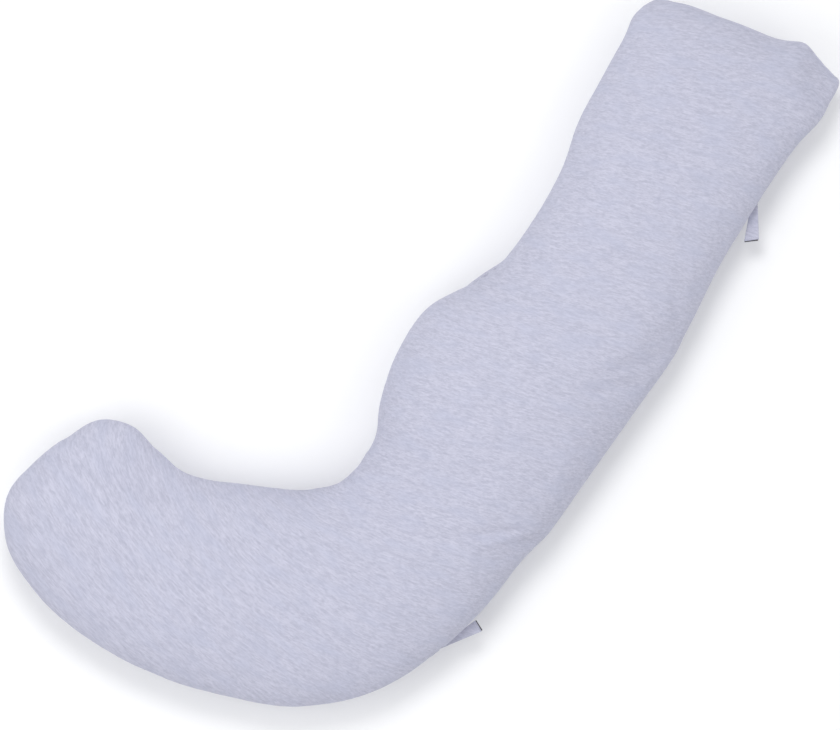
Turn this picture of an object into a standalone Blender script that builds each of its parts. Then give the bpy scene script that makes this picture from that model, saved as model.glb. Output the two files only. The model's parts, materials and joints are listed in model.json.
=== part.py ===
"""A J-shaped nursing pillow, lying flat: a zipped jersey cover over a casing stuffed with fibre.

Metres, +Z up. The origin is on the ground under the middle of the pillow's box, +Y runs along the
straight side towards the wide end, and -X is the hook's open side. The seam that joins the cover's
top and bottom panels runs level all the way round, with the zip in its straight outer stretch.
"""

import math

import bmesh
import bpy
from mathutils import Matrix, Vector

NAME = "nursing_pillow"

# The pillow's plan, as ribs from the wide end to the hook: inner x, y, then outer x, y.
RIBS = [
    (0.014, 0.640, 0.333, 0.687),
    (0.001, 0.606, 0.341, 0.645),
    (0.008, 0.560, 0.336, 0.585),
    (0.017, 0.480, 0.337, 0.490),
    (0.027, 0.405, 0.343, 0.400),
    (0.048, 0.330, 0.350, 0.330),
    (0.056, 0.245, 0.361, 0.262),
    (0.054, 0.160, 0.369, 0.190),
    (0.031, 0.095, 0.369, 0.100),
    (0.001, 0.030, 0.369, 0.020),
    (0.000, -0.050, 0.369, -0.060),
    (0.024, -0.130, 0.369, -0.137),
    (0.056, -0.200, 0.362, -0.215),
    (0.050, -0.275, 0.355, -0.315),
    (0.012, -0.320, 0.333, -0.420),
    (-0.035, -0.348, 0.288, -0.523),
    (-0.080, -0.372, 0.205, -0.612),
    (-0.125, -0.397, 0.090, -0.671),
    (-0.170, -0.411, -0.030, -0.708),
    (-0.225, -0.406, -0.150, -0.719),
    (-0.278, -0.400, -0.262, -0.701),
    (-0.322, -0.421, -0.335, -0.663),
]
# The hook's end, from the last inner point to the last outer one.
HOOK_END = [(-0.349, -0.474), (-0.368, -0.540), (-0.372, -0.606)]
# The wide end, from the first outer point, past the flat ear, to the first inner one.
WIDE_END = [(0.304, 0.710), (0.262, 0.714), (0.190, 0.699), (0.110, 0.678), (0.048, 0.658)]

# Heights.
SEAM_Z = 0.068  # the seam's height over the ground
FLAT_DEPTH = 0.010  # how much of the round underside the pillow's weight presses flat
END_RISE = 0.076  # top of the pillow over the seam, at its two ends
BELLY_RISE = 0.112  # the same, at the wide bulge
BELLY_AT = 0.68  # how far along the pillow from the wide end the bulge is highest
BELLY_SPREAD = 0.34  # over what length it falls away
END_ROUNDING = 0.150  # length over which an end rounds down to the seam
END_FADE = 0.400  # length over which the end curves' bulge fades out of the plan's cross lines
FULLNESS = 2.3  # exponent of the cross-section: 2 is an ellipse, more is fuller
TOP_OVERHANG = 0.005  # the full top panel bulges out past the seam
UNDER_OVERHANG = 0.002  # and the bottom panel a little

# Layers, from the outside in. Each inset is measured in plan from the pillow's outline.
GAP = 0.0004
COVER_THICK = 0.0012
COVER_SEAM_INSET = TOP_OVERHANG + COVER_THICK + GAP
COVER_SEAM_WIDTH = 0.006
COVER_SEAM_THICK = 0.0014
SEAM_END_GAP = 0.1  # share of a control point's stretch kept between a seam's end and its next point
CASING_THICK = 0.0006
CASING_INSET = COVER_SEAM_INSET + COVER_SEAM_WIDTH + GAP
CASING_SPACE = 0.0026  # how far below the cover's crown, and above the ground, the casing lies
CASING_SEAM_INSET = CASING_INSET + CASING_THICK + GAP
CASING_SEAM_WIDTH = 0.004
CASING_SEAM_THICK = 0.0010
FILL_INSET = CASING_SEAM_INSET + CASING_SEAM_WIDTH + GAP
FILL_SPACE = 0.0048  # the same as the casing's, for the stuffing
COVER_WALL = 0.016  # steep wall next to the cover's seam, tall enough to back the zip's tape
CASING_WALL = 0.011
FILL_WALL = 0.008

# How finely the panels are divided.
LENGTH_STEP = 0.052
END_STEPS = 5
WIDTH_STEPS = 10
MERGE = 1e-5  # points closer than this are one point

# The zip, in the straight stretch of the outer seam.
ZIP_Y = (-0.118, 0.172)
ZIP_OPENING = 0.0036  # half the gap between the panels' edges along the zip
ZIP_MARGIN = 0.004  # the gap runs this far past the last tooth
ZIP_EASE = 0.012  # and closes over this length
ZIP_SIDE_X = 0.30  # only the outer edge, which holds the zip, lies past this
TAPE_WIDTH = 0.0135
TAPE_THICK = 0.0006
TAPE_TAIL = 0.010  # tape past the last tooth
SEAM_FROM_TAPE = 0.004
COIL_WIDTH = 0.0024
COIL_THICK = 0.0019
COIL_FROM_MIDDLE = 0.0009
COIL_BEVEL = 0.0004
STOP_LENGTH = 0.0022
STOP_BEVEL = 0.0003
SLIDER_LENGTH = 0.0115
SLIDER_WIDTH = 0.0086
SLIDER_PLATE = 0.0012
SLIDER_LIFT = 0.0011  # the outer plate's height over the panels' edges, which flare outwards
SLIDER_NECK = 0.0010
NECK_SHORT = 0.0010  # how far the neck stops short of the plates' ends
BRIDGE_WIDTH = 0.0018
BRIDGE_THICK = 0.0009
BRIDGE_HEIGHT = 0.0024
BRIDGE_LENGTH = 0.0060
PULL_LENGTH = 0.026
PULL_WIDTH = 0.0066
PULL_THICK = 0.0010
PULL_ARM = 0.0014
PULL_FORK = 0.0052  # length of the gap between the arms, which clears the bridge
PULL_BAR = 0.0008  # diameter of the cross bar under the bridge
PULL_BAR_SIDES = 16
PULL_OVERLAP = 0.0008  # how far the tag runs into its arms
PULL_OUT = 0.0002  # the cross bar lies this far outwards of the gap's middle

# The two tabs: y of each root's two ends along the outer seam, far end first, and x, y of the tip's
# two corners, near corner first. Both lie along the pillow's edge and point at each other.
TABS = {
    "upper_tab": {"root": (0.476, 0.452), "tip": ((0.3552, 0.4089), (0.3728, 0.4255))},
    "lower_tab": {"root": (-0.412, -0.388), "tip": ((0.3545, -0.3365), (0.3733, -0.3449))},
}
TAB_THICK = 0.0020
TAB_CLEARANCE = 0.0016  # from the seam to the tab's root, on which it hinges
PATCH_SHARE = 0.34  # share of the tab's length that its patch covers
PATCH_THICK = 0.0014
PATCH_PROUD = 0.0016  # how far the patch shows past the tab's end
PATCH_MARGIN = 0.0010  # how far it keeps from the tab's sides

# The care label inside the cover.
LABEL_SIZE = (0.030, 0.022)
LABEL_THICK = 0.0004
LABEL_Y = -0.190
LABEL_FROM_COVER = 0.0035
LABEL_UNDER_SEAM = 0.0020

COLOURS = {
    "cover_jersey": ((0.52, 0.53, 0.66), 0.92, 0.0),
    "cover_thread": ((0.50, 0.51, 0.63), 0.80, 0.0),
    "casing_cotton": ((0.86, 0.86, 0.84), 0.90, 0.0),
    "fibre_fill": ((0.93, 0.93, 0.92), 1.00, 0.0),
    "zip_tape": ((0.56, 0.57, 0.68), 0.85, 0.0),
    "zip_coil": ((0.60, 0.61, 0.70), 0.45, 0.0),
    "zip_metal": ((0.62, 0.62, 0.64), 0.30, 1.0),
    "tab_patch": ((0.06, 0.06, 0.07), 0.95, 0.0),
    "label_satin": ((0.92, 0.92, 0.91), 0.50, 0.0),
}


# Setting up.


def clear_scene():
    for item in list(bpy.data.objects):
        bpy.data.objects.remove(item, do_unlink=True)


def make_collection(name):
    collection = bpy.data.collections.new(name)
    bpy.context.scene.collection.children.link(collection)
    return collection


def material(name):
    colour, roughness, metallic = COLOURS[name]
    made = bpy.data.materials.get(name) or bpy.data.materials.new(name)
    made.use_nodes = True
    shader = made.node_tree.nodes["Principled BSDF"]
    shader.inputs["Base Color"].default_value = (*colour, 1.0)
    shader.inputs["Roughness"].default_value = roughness
    shader.inputs["Metallic"].default_value = metallic
    made.diffuse_color = (*colour, 1.0)
    return made


def object_from(bm, name, slot, collection, origin=(0.0, 0.0, 0.0)):
    """A named object whose mesh is bm, with its origin at a place of its own."""
    bmesh.ops.translate(bm, verts=bm.verts, vec=-Vector(origin))
    mesh = bpy.data.meshes.new(name)
    bm.to_mesh(mesh)
    bm.free()
    made = bpy.data.objects.new(name, mesh)
    made.location = origin
    made.data.materials.append(material(slot))
    collection.objects.link(made)
    return made


# The plan: one closed smooth curve through the ribs' ends and the two end curves.


def outline_points():
    """The outline's control points, in order, and the numbers of its four corners."""
    inner = [Vector((rib[0], rib[1])) for rib in RIBS]
    outer = [Vector((rib[2], rib[3])) for rib in RIBS]
    hook = [Vector(point) for point in HOOK_END]
    wide = [Vector(point) for point in WIDE_END]
    points = inner + hook + outer[::-1] + wide
    count = len(RIBS)
    corners = (0, count - 1, count + len(hook), 2 * count + len(hook) - 1)
    return points, corners


POINTS, (INNER_START, INNER_END, OUTER_END, OUTER_START) = outline_points()


def tangent(index):
    """Direction of travel at a control point, weighted towards the nearer neighbour."""
    here = POINTS[index % len(POINTS)]
    before = here - POINTS[(index - 1) % len(POINTS)]
    after = POINTS[(index + 1) % len(POINTS)] - here
    weight = before.length + after.length
    return (before / before.length * after.length + after / after.length * before.length) / weight


def outline(place):
    """Point and unit direction of the outline at a place counted in control points."""
    index = math.floor(place)
    part = place - index
    start = POINTS[index % len(POINTS)]
    end = POINTS[(index + 1) % len(POINTS)]
    length = (end - start).length
    first = tangent(index) * length
    last = tangent(index + 1) * length
    square, cube = part * part, part * part * part
    point = (
        start * (2 * cube - 3 * square + 1)
        + first * (cube - 2 * square + part)
        + end * (3 * square - 2 * cube)
        + last * (cube - square)
    )
    travel = (
        start * (6 * square - 6 * part)
        + first * (3 * square - 4 * part + 1)
        + end * (6 * part - 6 * square)
        + last * (3 * square - 2 * part)
    )
    return point, travel.normalized()


def inset_point(place, inset):
    """The outline moved inwards. It runs anticlockwise, so its inside is on its left."""
    point, travel = outline(place)
    return point + Vector((-travel.y, travel.x)) * inset


def edge_places(first, last, steps=200):
    """Running length along a stretch of the outline, as a table of lengths and places."""
    table = [(0.0, first)]
    before = outline(first)[0]
    for step in range(1, steps + 1):
        place = first + (last - first) * step / steps
        here = outline(place)[0]
        table.append((table[-1][0] + (here - before).length, place))
        before = here
    return table


def place_at(table, share):
    """The place that lies this share of the way along a table from edge_places."""
    wanted = share * table[-1][0]
    for (low, first), (high, last) in zip(table, table[1:]):
        if high >= wanted:
            return first + (last - first) * (wanted - low) / (high - low)
    return table[-1][1]


WIDE_TABLE = edge_places(len(POINTS), OUTER_START)
HOOK_TABLE = edge_places(INNER_END, OUTER_END)


def spine_marks():
    """Running length along the middles of the ribs."""
    marks = [0.0]
    middles = [Vector(((a + c) / 2, (b + d) / 2)) for a, b, c, d in RIBS]
    for before, after in zip(middles, middles[1:]):
        marks.append(marks[-1] + (after - before).length)
    return marks


SPINE = spine_marks()
LENGTH = SPINE[-1]


def rib_at(distance):
    """The place among the ribs, counted in ribs, at this distance from the wide end."""
    for rib, (low, high) in enumerate(zip(SPINE, SPINE[1:])):
        if distance <= high:
            return rib + (distance - low) / (high - low)
    return float(len(SPINE) - 1)


def distance_at(rib):
    index = min(int(rib), len(SPINE) - 2)
    return SPINE[index] + (SPINE[index + 1] - SPINE[index]) * (rib - index)


def smooth_step(value):
    value = min(max(value, 0.0), 1.0)
    return value * value * (3.0 - 2.0 * value)


def plan_point(distance, across, inset):
    """Point of a panel: distance from the wide end, and across from the inner to the outer edge.

    A surface ruled between the two long edges, with the bulge of each end curve faded out over
    the nearest stretch of the length.
    """
    rib = rib_at(distance)
    point = inset_point(rib, inset).lerp(inset_point(OUTER_START - rib, inset), across)
    for table, corner, away in ((WIDE_TABLE, 0.0, distance), (HOOK_TABLE, INNER_END, LENGTH - distance)):
        fade = max(0.0, 1.0 - away / END_FADE) ** 2
        if fade > 0.0:
            start = inset_point(corner, inset)
            end = inset_point(OUTER_START - corner, inset)
            curve = inset_point(place_at(table, across), inset)
            point = point + (curve - start.lerp(end, across)) * fade
    return point


# Heights over the plan.


def rise_above_seam(distance):
    """Height of the pillow's crown over the seam, along its length."""
    bulge = math.exp(-(((distance - BELLY_AT) / BELLY_SPREAD) ** 2))
    return END_RISE + (BELLY_RISE - END_RISE) * bulge


def crown(distance, across):
    """How much of its full height the pillow has at a place: 0 at the edge and 1 at the middle."""
    side = max(0.0, 1.0 - abs(2.0 * across - 1.0) ** FULLNESS) ** 0.5
    reach = min(distance, LENGTH - distance) / END_ROUNDING
    end = 1.0 if reach >= 1.0 else math.sqrt(1.0 - (1.0 - reach) ** FULLNESS)
    return side * end


def length_stations():
    """Distances along the pillow: close together where its ends round off, and even between."""
    turns = [0.5 * math.pi * step / END_STEPS for step in range(END_STEPS)]
    end = [END_ROUNDING * (1.0 - math.cos(turn)) for turn in turns]
    straight = LENGTH - 2.0 * END_ROUNDING
    steps = round(straight / LENGTH_STEP)
    middle = [END_ROUNDING + straight * step / steps for step in range(steps + 1)]
    stations = end + middle + [LENGTH - value for value in reversed(end)]
    marks = zip_marks()
    kept = [value for value in stations if all(abs(value - mark) > LENGTH_STEP / 3 for mark in marks)]
    return sorted(kept + marks)


def zip_marks():
    """Stations at which the gap for the zip is still full, and at which it has closed."""
    low, high = ZIP_Y[0] - ZIP_MARGIN, ZIP_Y[1] + ZIP_MARGIN
    return [distance_at(OUTER_START - outer_place(y)) for y in (low - ZIP_EASE, low, high, high + ZIP_EASE)]


def width_stations():
    return [0.5 - 0.5 * math.cos(math.pi * step / WIDTH_STEPS) for step in range(WIDTH_STEPS + 1)]


def zip_opening(y):
    """Half the gap between the panels' edges: the zip shows through it, and it closes past its ends."""
    past = max(ZIP_Y[0] - y, y - ZIP_Y[1]) - ZIP_MARGIN
    return GAP / 2 + (ZIP_OPENING - GAP / 2) * (1.0 - smooth_step(past / ZIP_EASE))


# The layers of fabric and the filling.


def half_shell(side, inset, space, wall, overhang, opens):
    """One panel as an open surface: side is 1 for the top panel and -1 for the bottom one.

    It rises from its edge on the seam as a steep wall and then crowns over the plan. The bottom
    panel goes no lower than the ground plus the layers under it.
    """
    stations = length_stations()
    shares = width_stations()
    last_row, last_column = len(stations) - 1, len(shares) - 1
    bm = bmesh.new()
    bmesh.ops.create_grid(bm, x_segments=last_row, y_segments=last_column, size=1.0)
    seam_line = {}
    for vert in bm.verts:
        row = round((vert.co.x + 1.0) / 2.0 * last_row)
        column = round((vert.co.y + 1.0) / 2.0 * last_column)
        distance, across = stations[row], shares[column]
        plan = plan_point(distance, across, inset)
        lift = rise_above_seam(distance) if side > 0 else SEAM_Z + FLAT_DEPTH
        height = wall + (lift - space - wall) * crown(distance, across)
        vert.co = (plan.x, plan.y, max(SEAM_Z + side * height, space))
        if row in (0, last_row) or column in (0, last_column):
            seam_line[vert.co.to_tuple(6)] = plan_point(distance, across, inset + overhang)
    add_wall(bm, side, seam_line, opens)
    bmesh.ops.recalc_face_normals(bm, faces=bm.faces)
    if sum(face.normal.z * face.calc_area() for face in bm.faces) * side < 0.0:
        bmesh.ops.reverse_faces(bm, faces=bm.faces)
    return bm


def add_wall(bm, side, seam_line, opens):
    """The wall from the panel's rim to its edge on the seam, or beside the zip where it opens."""
    rim = [edge for edge in bm.edges if edge.is_boundary]
    made = bmesh.ops.extrude_edge_only(bm, edges=rim)["geom"]
    for vert in (item for item in made if isinstance(item, bmesh.types.BMVert)):
        plan = seam_line[vert.co.to_tuple(6)]
        gap = zip_opening(plan.y) if opens and plan.x > ZIP_SIDE_X else GAP / 2
        vert.co = (plan.x, plan.y, SEAM_Z + side * gap)


def fabric_panel(name, side, slot, inset, space, wall, overhang, thick, collection, opens=False):
    bm = half_shell(side, inset, space, wall, overhang, opens)
    panel = object_from(bm, name, slot, collection)
    solid = panel.modifiers.new("fabric", "SOLIDIFY")
    solid.thickness = thick
    solid.offset = -1.0
    return panel


def fill_core(collection):
    """The stuffing: both halves of its own smaller shape, welded along its edge."""
    bm = bmesh.new()
    for side in (1, -1):
        half = half_shell(side, FILL_INSET, FILL_SPACE, FILL_WALL, 0.0, False)
        for vert in half.verts:
            if abs(vert.co.z - SEAM_Z) <= GAP:
                vert.co.z = SEAM_Z
        mesh = bpy.data.meshes.new("half")
        half.to_mesh(mesh)
        half.free()
        bm.from_mesh(mesh)
        bpy.data.meshes.remove(mesh)
    bmesh.ops.remove_doubles(bm, verts=bm.verts, dist=MERGE)
    return object_from(bm, "fill_core", "fibre_fill", collection)


def rim_places():
    """Places on the outline of all the points on a panel's edge, once round."""
    ribs = [rib_at(distance) for distance in length_stations()]
    hook = [place_at(HOOK_TABLE, share) for share in width_stations()]
    outer = [OUTER_START - rib for rib in reversed(ribs)]
    wide = [place_at(WIDE_TABLE, share) for share in reversed(width_stations())]
    return ribs + hook[1:-1] + outer + wide[1:-1]


def band_places(ends):
    """The places that a seam runs through: once round, or from one end to the other."""
    places = rim_places()
    if not ends:
        return places + [places[0] + len(POINTS)]
    start, stop = ends
    round_trip = places + [place + len(POINTS) for place in places]
    between = [place for place in round_trip if start + SEAM_END_GAP < place < stop - SEAM_END_GAP]
    return [start] + between + [stop]


def seam_band(name, slot, near, far, thick, collection, ends=None):
    """A flat seam allowance along the outline, whole or from ends[0] round the hook to ends[1]."""
    places = band_places(ends)
    bm = bmesh.new()
    bmesh.ops.create_grid(bm, x_segments=len(places) - 1, y_segments=1, size=1.0)
    for vert in bm.verts:
        place = places[round((vert.co.x + 1.0) / 2.0 * (len(places) - 1))]
        plan = inset_point(place, near if vert.co.y < 0.0 else far)
        vert.co = (plan.x, plan.y, SEAM_Z)
    bmesh.ops.remove_doubles(bm, verts=bm.verts, dist=MERGE)
    bmesh.ops.recalc_face_normals(bm, faces=bm.faces)
    band = object_from(bm, name, slot, collection)
    solid = band.modifiers.new("allowance", "SOLIDIFY")
    solid.thickness = thick
    solid.offset = 0.0
    return band


def outer_place(y):
    """The place on the outline's outer edge that has this y."""
    low, high = float(OUTER_END), float(OUTER_START)
    for _ in range(40):
        middle = (low + high) / 2
        low, high = (middle, high) if inset_point(middle, 0.0).y < y else (low, middle)
    return (low + high) / 2


def make_layers(collection):
    top = (0.0, 0.0, COVER_WALL, TOP_OVERHANG, COVER_THICK)
    under = (TOP_OVERHANG - UNDER_OVERHANG, 0.0, COVER_WALL, UNDER_OVERHANG, COVER_THICK)
    casing = (CASING_INSET, CASING_SPACE, CASING_WALL, 0.0, CASING_THICK)
    fabric_panel("cover_top_panel", 1, "cover_jersey", *top, collection, opens=True)
    fabric_panel("cover_bottom_panel", -1, "cover_jersey", *under, collection, opens=True)
    fabric_panel("casing_top_panel", 1, "casing_cotton", *casing, collection)
    fabric_panel("casing_bottom_panel", -1, "casing_cotton", *casing, collection)
    fill_core(collection)
    past = TAPE_TAIL + SEAM_FROM_TAPE
    ends = (outer_place(ZIP_Y[1] + past), outer_place(ZIP_Y[0] - past) + len(POINTS))
    cover = (COVER_SEAM_INSET, COVER_SEAM_INSET + COVER_SEAM_WIDTH, COVER_SEAM_THICK)
    seam_band("cover_seam", "cover_thread", *cover, collection, ends)
    inner = (CASING_SEAM_INSET, CASING_SEAM_INSET + CASING_SEAM_WIDTH, CASING_SEAM_THICK)
    seam_band("casing_seam", "casing_cotton", *inner, collection)


# Blocks and pins, which the zip and the tabs are made of.


def block(bm, low, high):
    """A box between two opposite corners."""
    low, high = Vector(low), Vector(high)
    place = Matrix.Translation((low + high) / 2) @ Matrix.Diagonal((*(high - low), 1.0))
    bmesh.ops.create_cube(bm, size=1.0, matrix=place)


def blocks(corners):
    """A bmesh for each pair of opposite corners."""
    made = []
    for low, high in corners:
        bm = bmesh.new()
        block(bm, low, high)
        made.append(bm)
    return made


def block_object(name, slot, low, high, collection, origin=(0.0, 0.0, 0.0), bevel=0.0):
    bm = bmesh.new()
    block(bm, low, high)
    made = object_from(bm, name, slot, collection, origin)
    if bevel > 0.0:
        rounding = made.modifiers.new("rounded_edges", "BEVEL")
        rounding.width = bevel
        rounding.segments = 1
    return made


def upright_bar(bm, x, y, low, high, diameter):
    """A round bar that stands between two heights."""
    place = Matrix.Translation((x, y, (low + high) / 2))
    bmesh.ops.create_cone(
        bm, cap_ends=True, segments=PULL_BAR_SIDES, radius1=diameter / 2, radius2=diameter / 2,
        depth=high - low, matrix=place,
    )


def joined(name, slot, pieces, collection, origin):
    """Several overlapping pieces, each a bmesh, made into one solid by Boolean union."""
    objects = []
    for number, bm in enumerate(pieces):
        objects.append(object_from(bm, f"{name}_{number}", slot, collection, origin))
    body = objects[0]
    for other in objects[1:]:
        union = body.modifiers.new("union", "BOOLEAN")
        union.operation = "UNION"
        union.solver = "EXACT"
        union.object = other
    bpy.context.view_layer.update()
    whole = body.evaluated_get(bpy.context.evaluated_depsgraph_get())
    mesh = bpy.data.meshes.new_from_object(whole)
    for made in objects:
        bpy.data.objects.remove(made, do_unlink=True)
    mesh.name = name
    result = bpy.data.objects.new(name, mesh)
    result.location = origin
    collection.objects.link(result)
    return result


# The zip. Its chain lies in a vertical plane, level with the seam, facing outwards.


def zip_plane():
    """x of the cover's outer face along the zip, at the seam."""
    return inset_point(outer_place(sum(ZIP_Y) / 2), TOP_OVERHANG).x


def make_zip(collection):
    face = zip_plane()
    tape_out = face - COVER_THICK - GAP
    tape_in = tape_out - TAPE_THICK
    coil_in = tape_out + GAP / 2
    coil_out = coil_in + COIL_THICK
    low, high = ZIP_Y
    for side, word in ((1, "upper"), (-1, "lower")):
        near = SEAM_Z + side * COIL_FROM_MIDDLE
        edges = sorted((near, SEAM_Z + side * TAPE_WIDTH))
        block_object(
            f"zip_tape_{word}", "zip_tape",
            (tape_in, low - TAPE_TAIL, edges[0]), (tape_out, high + TAPE_TAIL, edges[1]), collection,
        )
        edges = sorted((near, near + side * COIL_WIDTH))
        block_object(
            f"zip_coil_{word}", "zip_coil",
            (coil_in, low, edges[0]), (coil_out, high, edges[1]), collection, bevel=COIL_BEVEL,
        )
        stop_y = (low - GAP - STOP_LENGTH, low - GAP)
        block_object(
            f"zip_top_stop_{word}", "zip_metal",
            (coil_in, stop_y[0], edges[0]), (coil_out, stop_y[1], edges[1]), collection, bevel=STOP_BEVEL,
        )
    block_object(
        "zip_bottom_stop", "zip_metal",
        (coil_in, high + GAP, SEAM_Z - COIL_FROM_MIDDLE - COIL_WIDTH),
        (coil_out, high + GAP + STOP_LENGTH, SEAM_Z + COIL_FROM_MIDDLE + COIL_WIDTH),
        collection, bevel=STOP_BEVEL,
    )
    make_slider(face, tape_in, coil_out, collection)


def make_slider(face, tape_in, coil_out, collection):
    """The slider: two plates joined by a neck that runs between the two coils, with a bridge."""
    half = SLIDER_LENGTH / 2
    middle = ZIP_Y[0] + half + GAP
    wide = SLIDER_WIDTH / 2
    out_low = face + SLIDER_LIFT
    out_high = out_low + SLIDER_PLATE
    in_high = tape_in - GAP
    in_low = in_high - SLIDER_PLATE
    arch = BRIDGE_LENGTH / 2
    foot = BRIDGE_THICK
    top = out_high + BRIDGE_HEIGHT
    strip = BRIDGE_WIDTH / 2
    sunk = SLIDER_PLATE / 2
    pieces = [
        ((out_low, middle - half, SEAM_Z - wide), (out_high, middle + half, SEAM_Z + wide)),
        ((in_low, middle - half, SEAM_Z - wide), (in_high, middle + half, SEAM_Z + wide)),
        (
            (in_high - sunk, middle + NECK_SHORT, SEAM_Z - SLIDER_NECK / 2),
            (out_low + sunk, middle + half - NECK_SHORT, SEAM_Z + SLIDER_NECK / 2),
        ),
        ((out_high - sunk, middle - arch, SEAM_Z - strip), (top, middle - arch + foot, SEAM_Z + strip)),
        ((out_high - sunk, middle + arch - foot, SEAM_Z - strip), (top, middle + arch, SEAM_Z + strip)),
        (
            (top - BRIDGE_THICK, middle - arch + foot / 2, SEAM_Z - strip),
            (top, middle + arch - foot / 2, SEAM_Z + strip),
        ),
    ]
    joined("zip_slider", "zip_metal", blocks(pieces), collection, (face, middle, SEAM_Z))
    pin_x = out_high + (BRIDGE_HEIGHT - BRIDGE_THICK) / 2 + PULL_OUT
    make_pull(pin_x, middle, collection)


def make_pull(pin_x, pin_y, collection):
    """The pull: a cross bar under the slider's bridge, two arms beside it and a flat tag."""
    thin = PULL_THICK / 2
    wide = PULL_WIDTH / 2
    low, high = SEAM_Z - wide, SEAM_Z + wide
    fork_y = pin_y - PULL_FORK
    bar = bmesh.new()
    upright_bar(bar, pin_x, pin_y, low + PULL_ARM / 2, high - PULL_ARM / 2, PULL_BAR)
    flat = [
        ((pin_x - thin, fork_y, low), (pin_x + thin, pin_y + thin, low + PULL_ARM)),
        ((pin_x - thin, fork_y, high - PULL_ARM), (pin_x + thin, pin_y + thin, high)),
        ((pin_x - thin, pin_y - PULL_LENGTH, low), (pin_x + thin, fork_y + PULL_OVERLAP, high)),
    ]
    joined("zip_pull", "zip_metal", [bar] + blocks(flat), collection, (pin_x, pin_y, SEAM_Z))


# The tabs.


def tab_corners(tab):
    """The tab's plan: its root's far and near ends on the hinge line, then its tip's near and far ones."""
    far, near = (inset_point(outer_place(y), TOP_OVERHANG - TAB_CLEARANCE) for y in tab["root"])
    tip_near, tip_far = (Vector(corner) for corner in tab["tip"])
    return far, near, tip_near, tip_far


def slab(name, slot, corners, low, high, collection, origin):
    """A flat piece with straight sides: a cube whose corners go to the plan's, in turn round it."""
    first, second, third, fourth = corners
    plan = {(-1, -1): first, (1, -1): second, (1, 1): third, (-1, 1): fourth}
    bm = bmesh.new()
    bmesh.ops.create_cube(bm, size=2.0)
    for vert in bm.verts:
        corner = plan[round(vert.co.x), round(vert.co.y)]
        vert.co = (corner.x, corner.y, low if vert.co.z < 0.0 else high)
    if bm.calc_volume(signed=True) < 0.0:
        bmesh.ops.reverse_faces(bm, faces=bm.faces)
    return object_from(bm, name, slot, collection, origin)


def make_tab(name, tab, collection):
    """A strap that hinges on its sewn root, with a patch under its free end."""
    far, near, tip_near, tip_far = tab_corners(tab)
    origin = (*((far + near) / 2), SEAM_Z)
    bottom = SEAM_Z - TAB_THICK / 2
    top = SEAM_Z + TAB_THICK / 2
    slab(f"{name}_strap", "cover_jersey", [far, near, tip_near, tip_far], bottom, top, collection, origin)
    across = (tip_far - tip_near).normalized() * PATCH_MARGIN
    proud = ((tip_near + tip_far) / 2 - (near + far) / 2).normalized() * PATCH_PROUD
    patch = [
        tip_far.lerp(far, PATCH_SHARE) - across,
        tip_near.lerp(near, PATCH_SHARE) + across,
        tip_near + across + proud,
        tip_far - across + proud,
    ]
    under = bottom - GAP
    slab(f"{name}_patch", "tab_patch", patch, under - PATCH_THICK, under, collection, origin)


def make_label(collection):
    """A blank label that hangs inside the cover, from the seam below the zip's end."""
    outline_x = inset_point(outer_place(LABEL_Y), TOP_OVERHANG).x
    x = outline_x - COVER_THICK - LABEL_FROM_COVER
    top = SEAM_Z - LABEL_UNDER_SEAM
    block_object(
        "care_label", "label_satin",
        (x - LABEL_THICK, LABEL_Y - LABEL_SIZE[0] / 2, top - LABEL_SIZE[1]),
        (x, LABEL_Y + LABEL_SIZE[0] / 2, top), collection,
    )


def main():
    clear_scene()
    collection = make_collection(NAME)
    make_layers(collection)
    make_zip(collection)
    for name, tab in TABS.items():
        make_tab(name, tab, collection)
    make_label(collection)


main()
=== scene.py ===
import json
import math

import bmesh
import bpy
import numpy as np
from mathutils import Matrix, Vector, noise


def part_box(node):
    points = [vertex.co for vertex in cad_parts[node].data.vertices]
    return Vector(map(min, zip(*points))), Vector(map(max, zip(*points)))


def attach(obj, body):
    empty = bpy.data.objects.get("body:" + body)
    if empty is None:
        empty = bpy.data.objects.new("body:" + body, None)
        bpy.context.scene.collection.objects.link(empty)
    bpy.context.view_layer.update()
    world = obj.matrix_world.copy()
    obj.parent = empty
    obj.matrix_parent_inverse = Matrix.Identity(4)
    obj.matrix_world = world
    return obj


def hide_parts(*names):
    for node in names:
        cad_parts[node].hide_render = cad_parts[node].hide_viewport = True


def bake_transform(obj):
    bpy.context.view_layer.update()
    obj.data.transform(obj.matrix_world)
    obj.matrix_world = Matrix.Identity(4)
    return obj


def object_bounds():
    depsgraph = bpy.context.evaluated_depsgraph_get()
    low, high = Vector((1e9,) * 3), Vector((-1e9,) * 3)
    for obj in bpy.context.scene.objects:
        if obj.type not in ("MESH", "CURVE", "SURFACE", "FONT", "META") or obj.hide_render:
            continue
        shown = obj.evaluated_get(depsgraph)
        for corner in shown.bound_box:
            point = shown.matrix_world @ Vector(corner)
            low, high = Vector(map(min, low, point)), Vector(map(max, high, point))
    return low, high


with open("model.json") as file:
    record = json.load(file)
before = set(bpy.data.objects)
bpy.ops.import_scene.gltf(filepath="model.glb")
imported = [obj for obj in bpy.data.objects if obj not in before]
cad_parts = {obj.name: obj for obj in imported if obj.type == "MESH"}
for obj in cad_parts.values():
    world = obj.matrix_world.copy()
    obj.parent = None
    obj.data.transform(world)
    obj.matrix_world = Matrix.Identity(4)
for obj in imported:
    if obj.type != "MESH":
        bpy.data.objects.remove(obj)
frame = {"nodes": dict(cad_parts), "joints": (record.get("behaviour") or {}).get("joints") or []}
CAD_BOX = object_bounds()

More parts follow.
